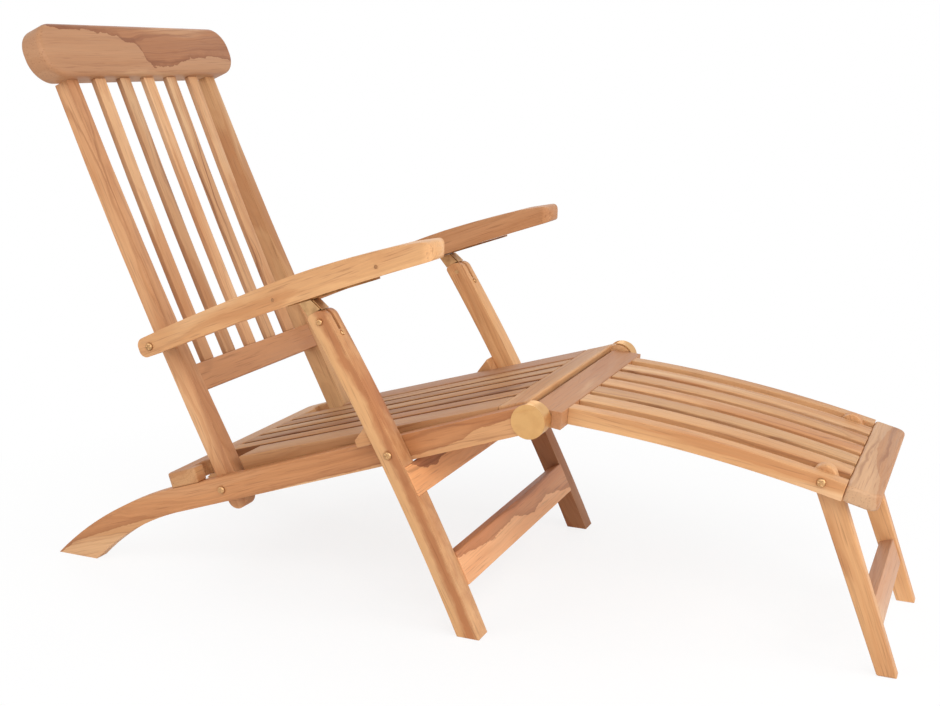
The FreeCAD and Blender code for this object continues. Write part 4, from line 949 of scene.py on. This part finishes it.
def world_light():
    """An even pale sky; the camera, gloss and glass see plain white."""
    world = bpy.data.worlds.new("studio")
    bpy.context.scene.world = world
    world.use_nodes = True
    tree = world.node_tree
    tree.nodes.clear()
    out = tree.nodes.new("ShaderNodeOutputWorld")
    skies = []
    for strength in SKY_STRENGTHS:
        sky = tree.nodes.new("ShaderNodeBackground")
        sky.inputs["Color"].default_value = WHITE
        sky.inputs["Strength"].default_value = strength
        skies.append(sky)
    path = tree.nodes.new("ShaderNodeLightPath").outputs
    seen = math_node(tree, "MAXIMUM", path["Is Camera Ray"], path["Is Transmission Ray"])
    seen = math_node(tree, "MAXIMUM", seen, path["Is Glossy Ray"])
    mix = tree.nodes.new("ShaderNodeMixShader")
    tree.links.new(seen, mix.inputs[0])
    tree.links.new(skies[0].outputs[0], mix.inputs[1])
    tree.links.new(skies[1].outputs[0], mix.inputs[2])
    tree.links.new(mix.outputs[0], out.inputs["Surface"])


def area_light(name, place, target, size, power):
    """A soft rectangular lamp aimed at a point."""
    lamp = bpy.data.lights.new(name, "AREA")
    lamp.shape = "RECTANGLE"
    lamp.size, lamp.size_y = size
    lamp.energy = power
    thing = bpy.data.objects.new(name, lamp)
    thing.location = place
    thing.rotation_euler = (Vector(target) - Vector(place)).to_track_quat("-Z", "Y").to_euler()
    bpy.context.scene.collection.objects.link(thing)


floor()
world_light()
# Name, place, the point it is aimed at, size, power in watts
for lamp in (
    ("key", (1.7, -2.7, 2.7), (0, 0, 0.35), (2.4, 2.0), 62),
    ("front", (3.0, -0.4, 1.5), (0.2, 0, 0.35), (2.0, 1.8), 42),
    ("side", (-2.2, -2.6, 1.9), (0, 0, 0.35), (2.0, 2.0), 24),
    ("back", (-1.2, 2.6, 2.4), (0, 0, 0.3), (2.4, 1.6), 20),
):
    area_light(*lamp)

# The photograph's camera: angles in degrees, picture measures in pixels, place in metres
CAMERA_TURN, CAMERA_DIP, CAMERA_ROLL = 23.618, 11.857, 0.234
PICTURE_WIDTH, PICTURE_HEIGHT = 940, 706
FOCAL_LENGTH = 1326.78
OPTICAL_CENTRE = (443.8, 335.1)
SENSOR_WIDTH = 36
VIEW_END = 60
# The viewpoint: ahead of the arm bolt, aside from the middle plane and above the floor
CAMERA_AHEAD, CAMERA_ASIDE, CAMERA_HEIGHT = 1.3427, -2.1071, 0.9032


def camera():
    """The photograph's viewpoint: 24 degrees towards the footrest, looking down 12 degrees."""
    turn, dip, roll = (math.radians(angle) for angle in (CAMERA_TURN, CAMERA_DIP, CAMERA_ROLL))
    right = Vector((math.cos(turn), math.sin(turn), 0))
    ahead = Vector((-math.sin(turn) * math.cos(dip), math.cos(turn) * math.cos(dip), -math.sin(dip)))
    up = right.cross(ahead)
    tilted_right = right * math.cos(roll) + up * math.sin(roll)
    tilted_up = up * math.cos(roll) - right * math.sin(roll)
    lens = bpy.data.cameras.new("camera")
    lens.sensor_fit = "HORIZONTAL"
    lens.sensor_width = SENSOR_WIDTH
    lens.lens = FOCAL_LENGTH * SENSOR_WIDTH / PICTURE_WIDTH
    lens.shift_x = (PICTURE_WIDTH / 2 - OPTICAL_CENTRE[0]) / PICTURE_WIDTH
    lens.shift_y = (OPTICAL_CENTRE[1] - PICTURE_HEIGHT / 2) / PICTURE_WIDTH
    lens.clip_end = VIEW_END
    thing = bpy.data.objects.new("camera", lens)
    turned = Matrix((tilted_right, tilted_up, -ahead)).transposed().to_4x4()
    place = (arm_bolt[0] + CAMERA_AHEAD, CAMERA_ASIDE, CAMERA_HEIGHT)
    thing.matrix_world = Matrix.Translation(place) @ turned
    bpy.context.scene.collection.objects.link(thing)
    bpy.context.scene.camera = thing


camera()
bpy.context.scene.view_settings.view_transform = "Standard"
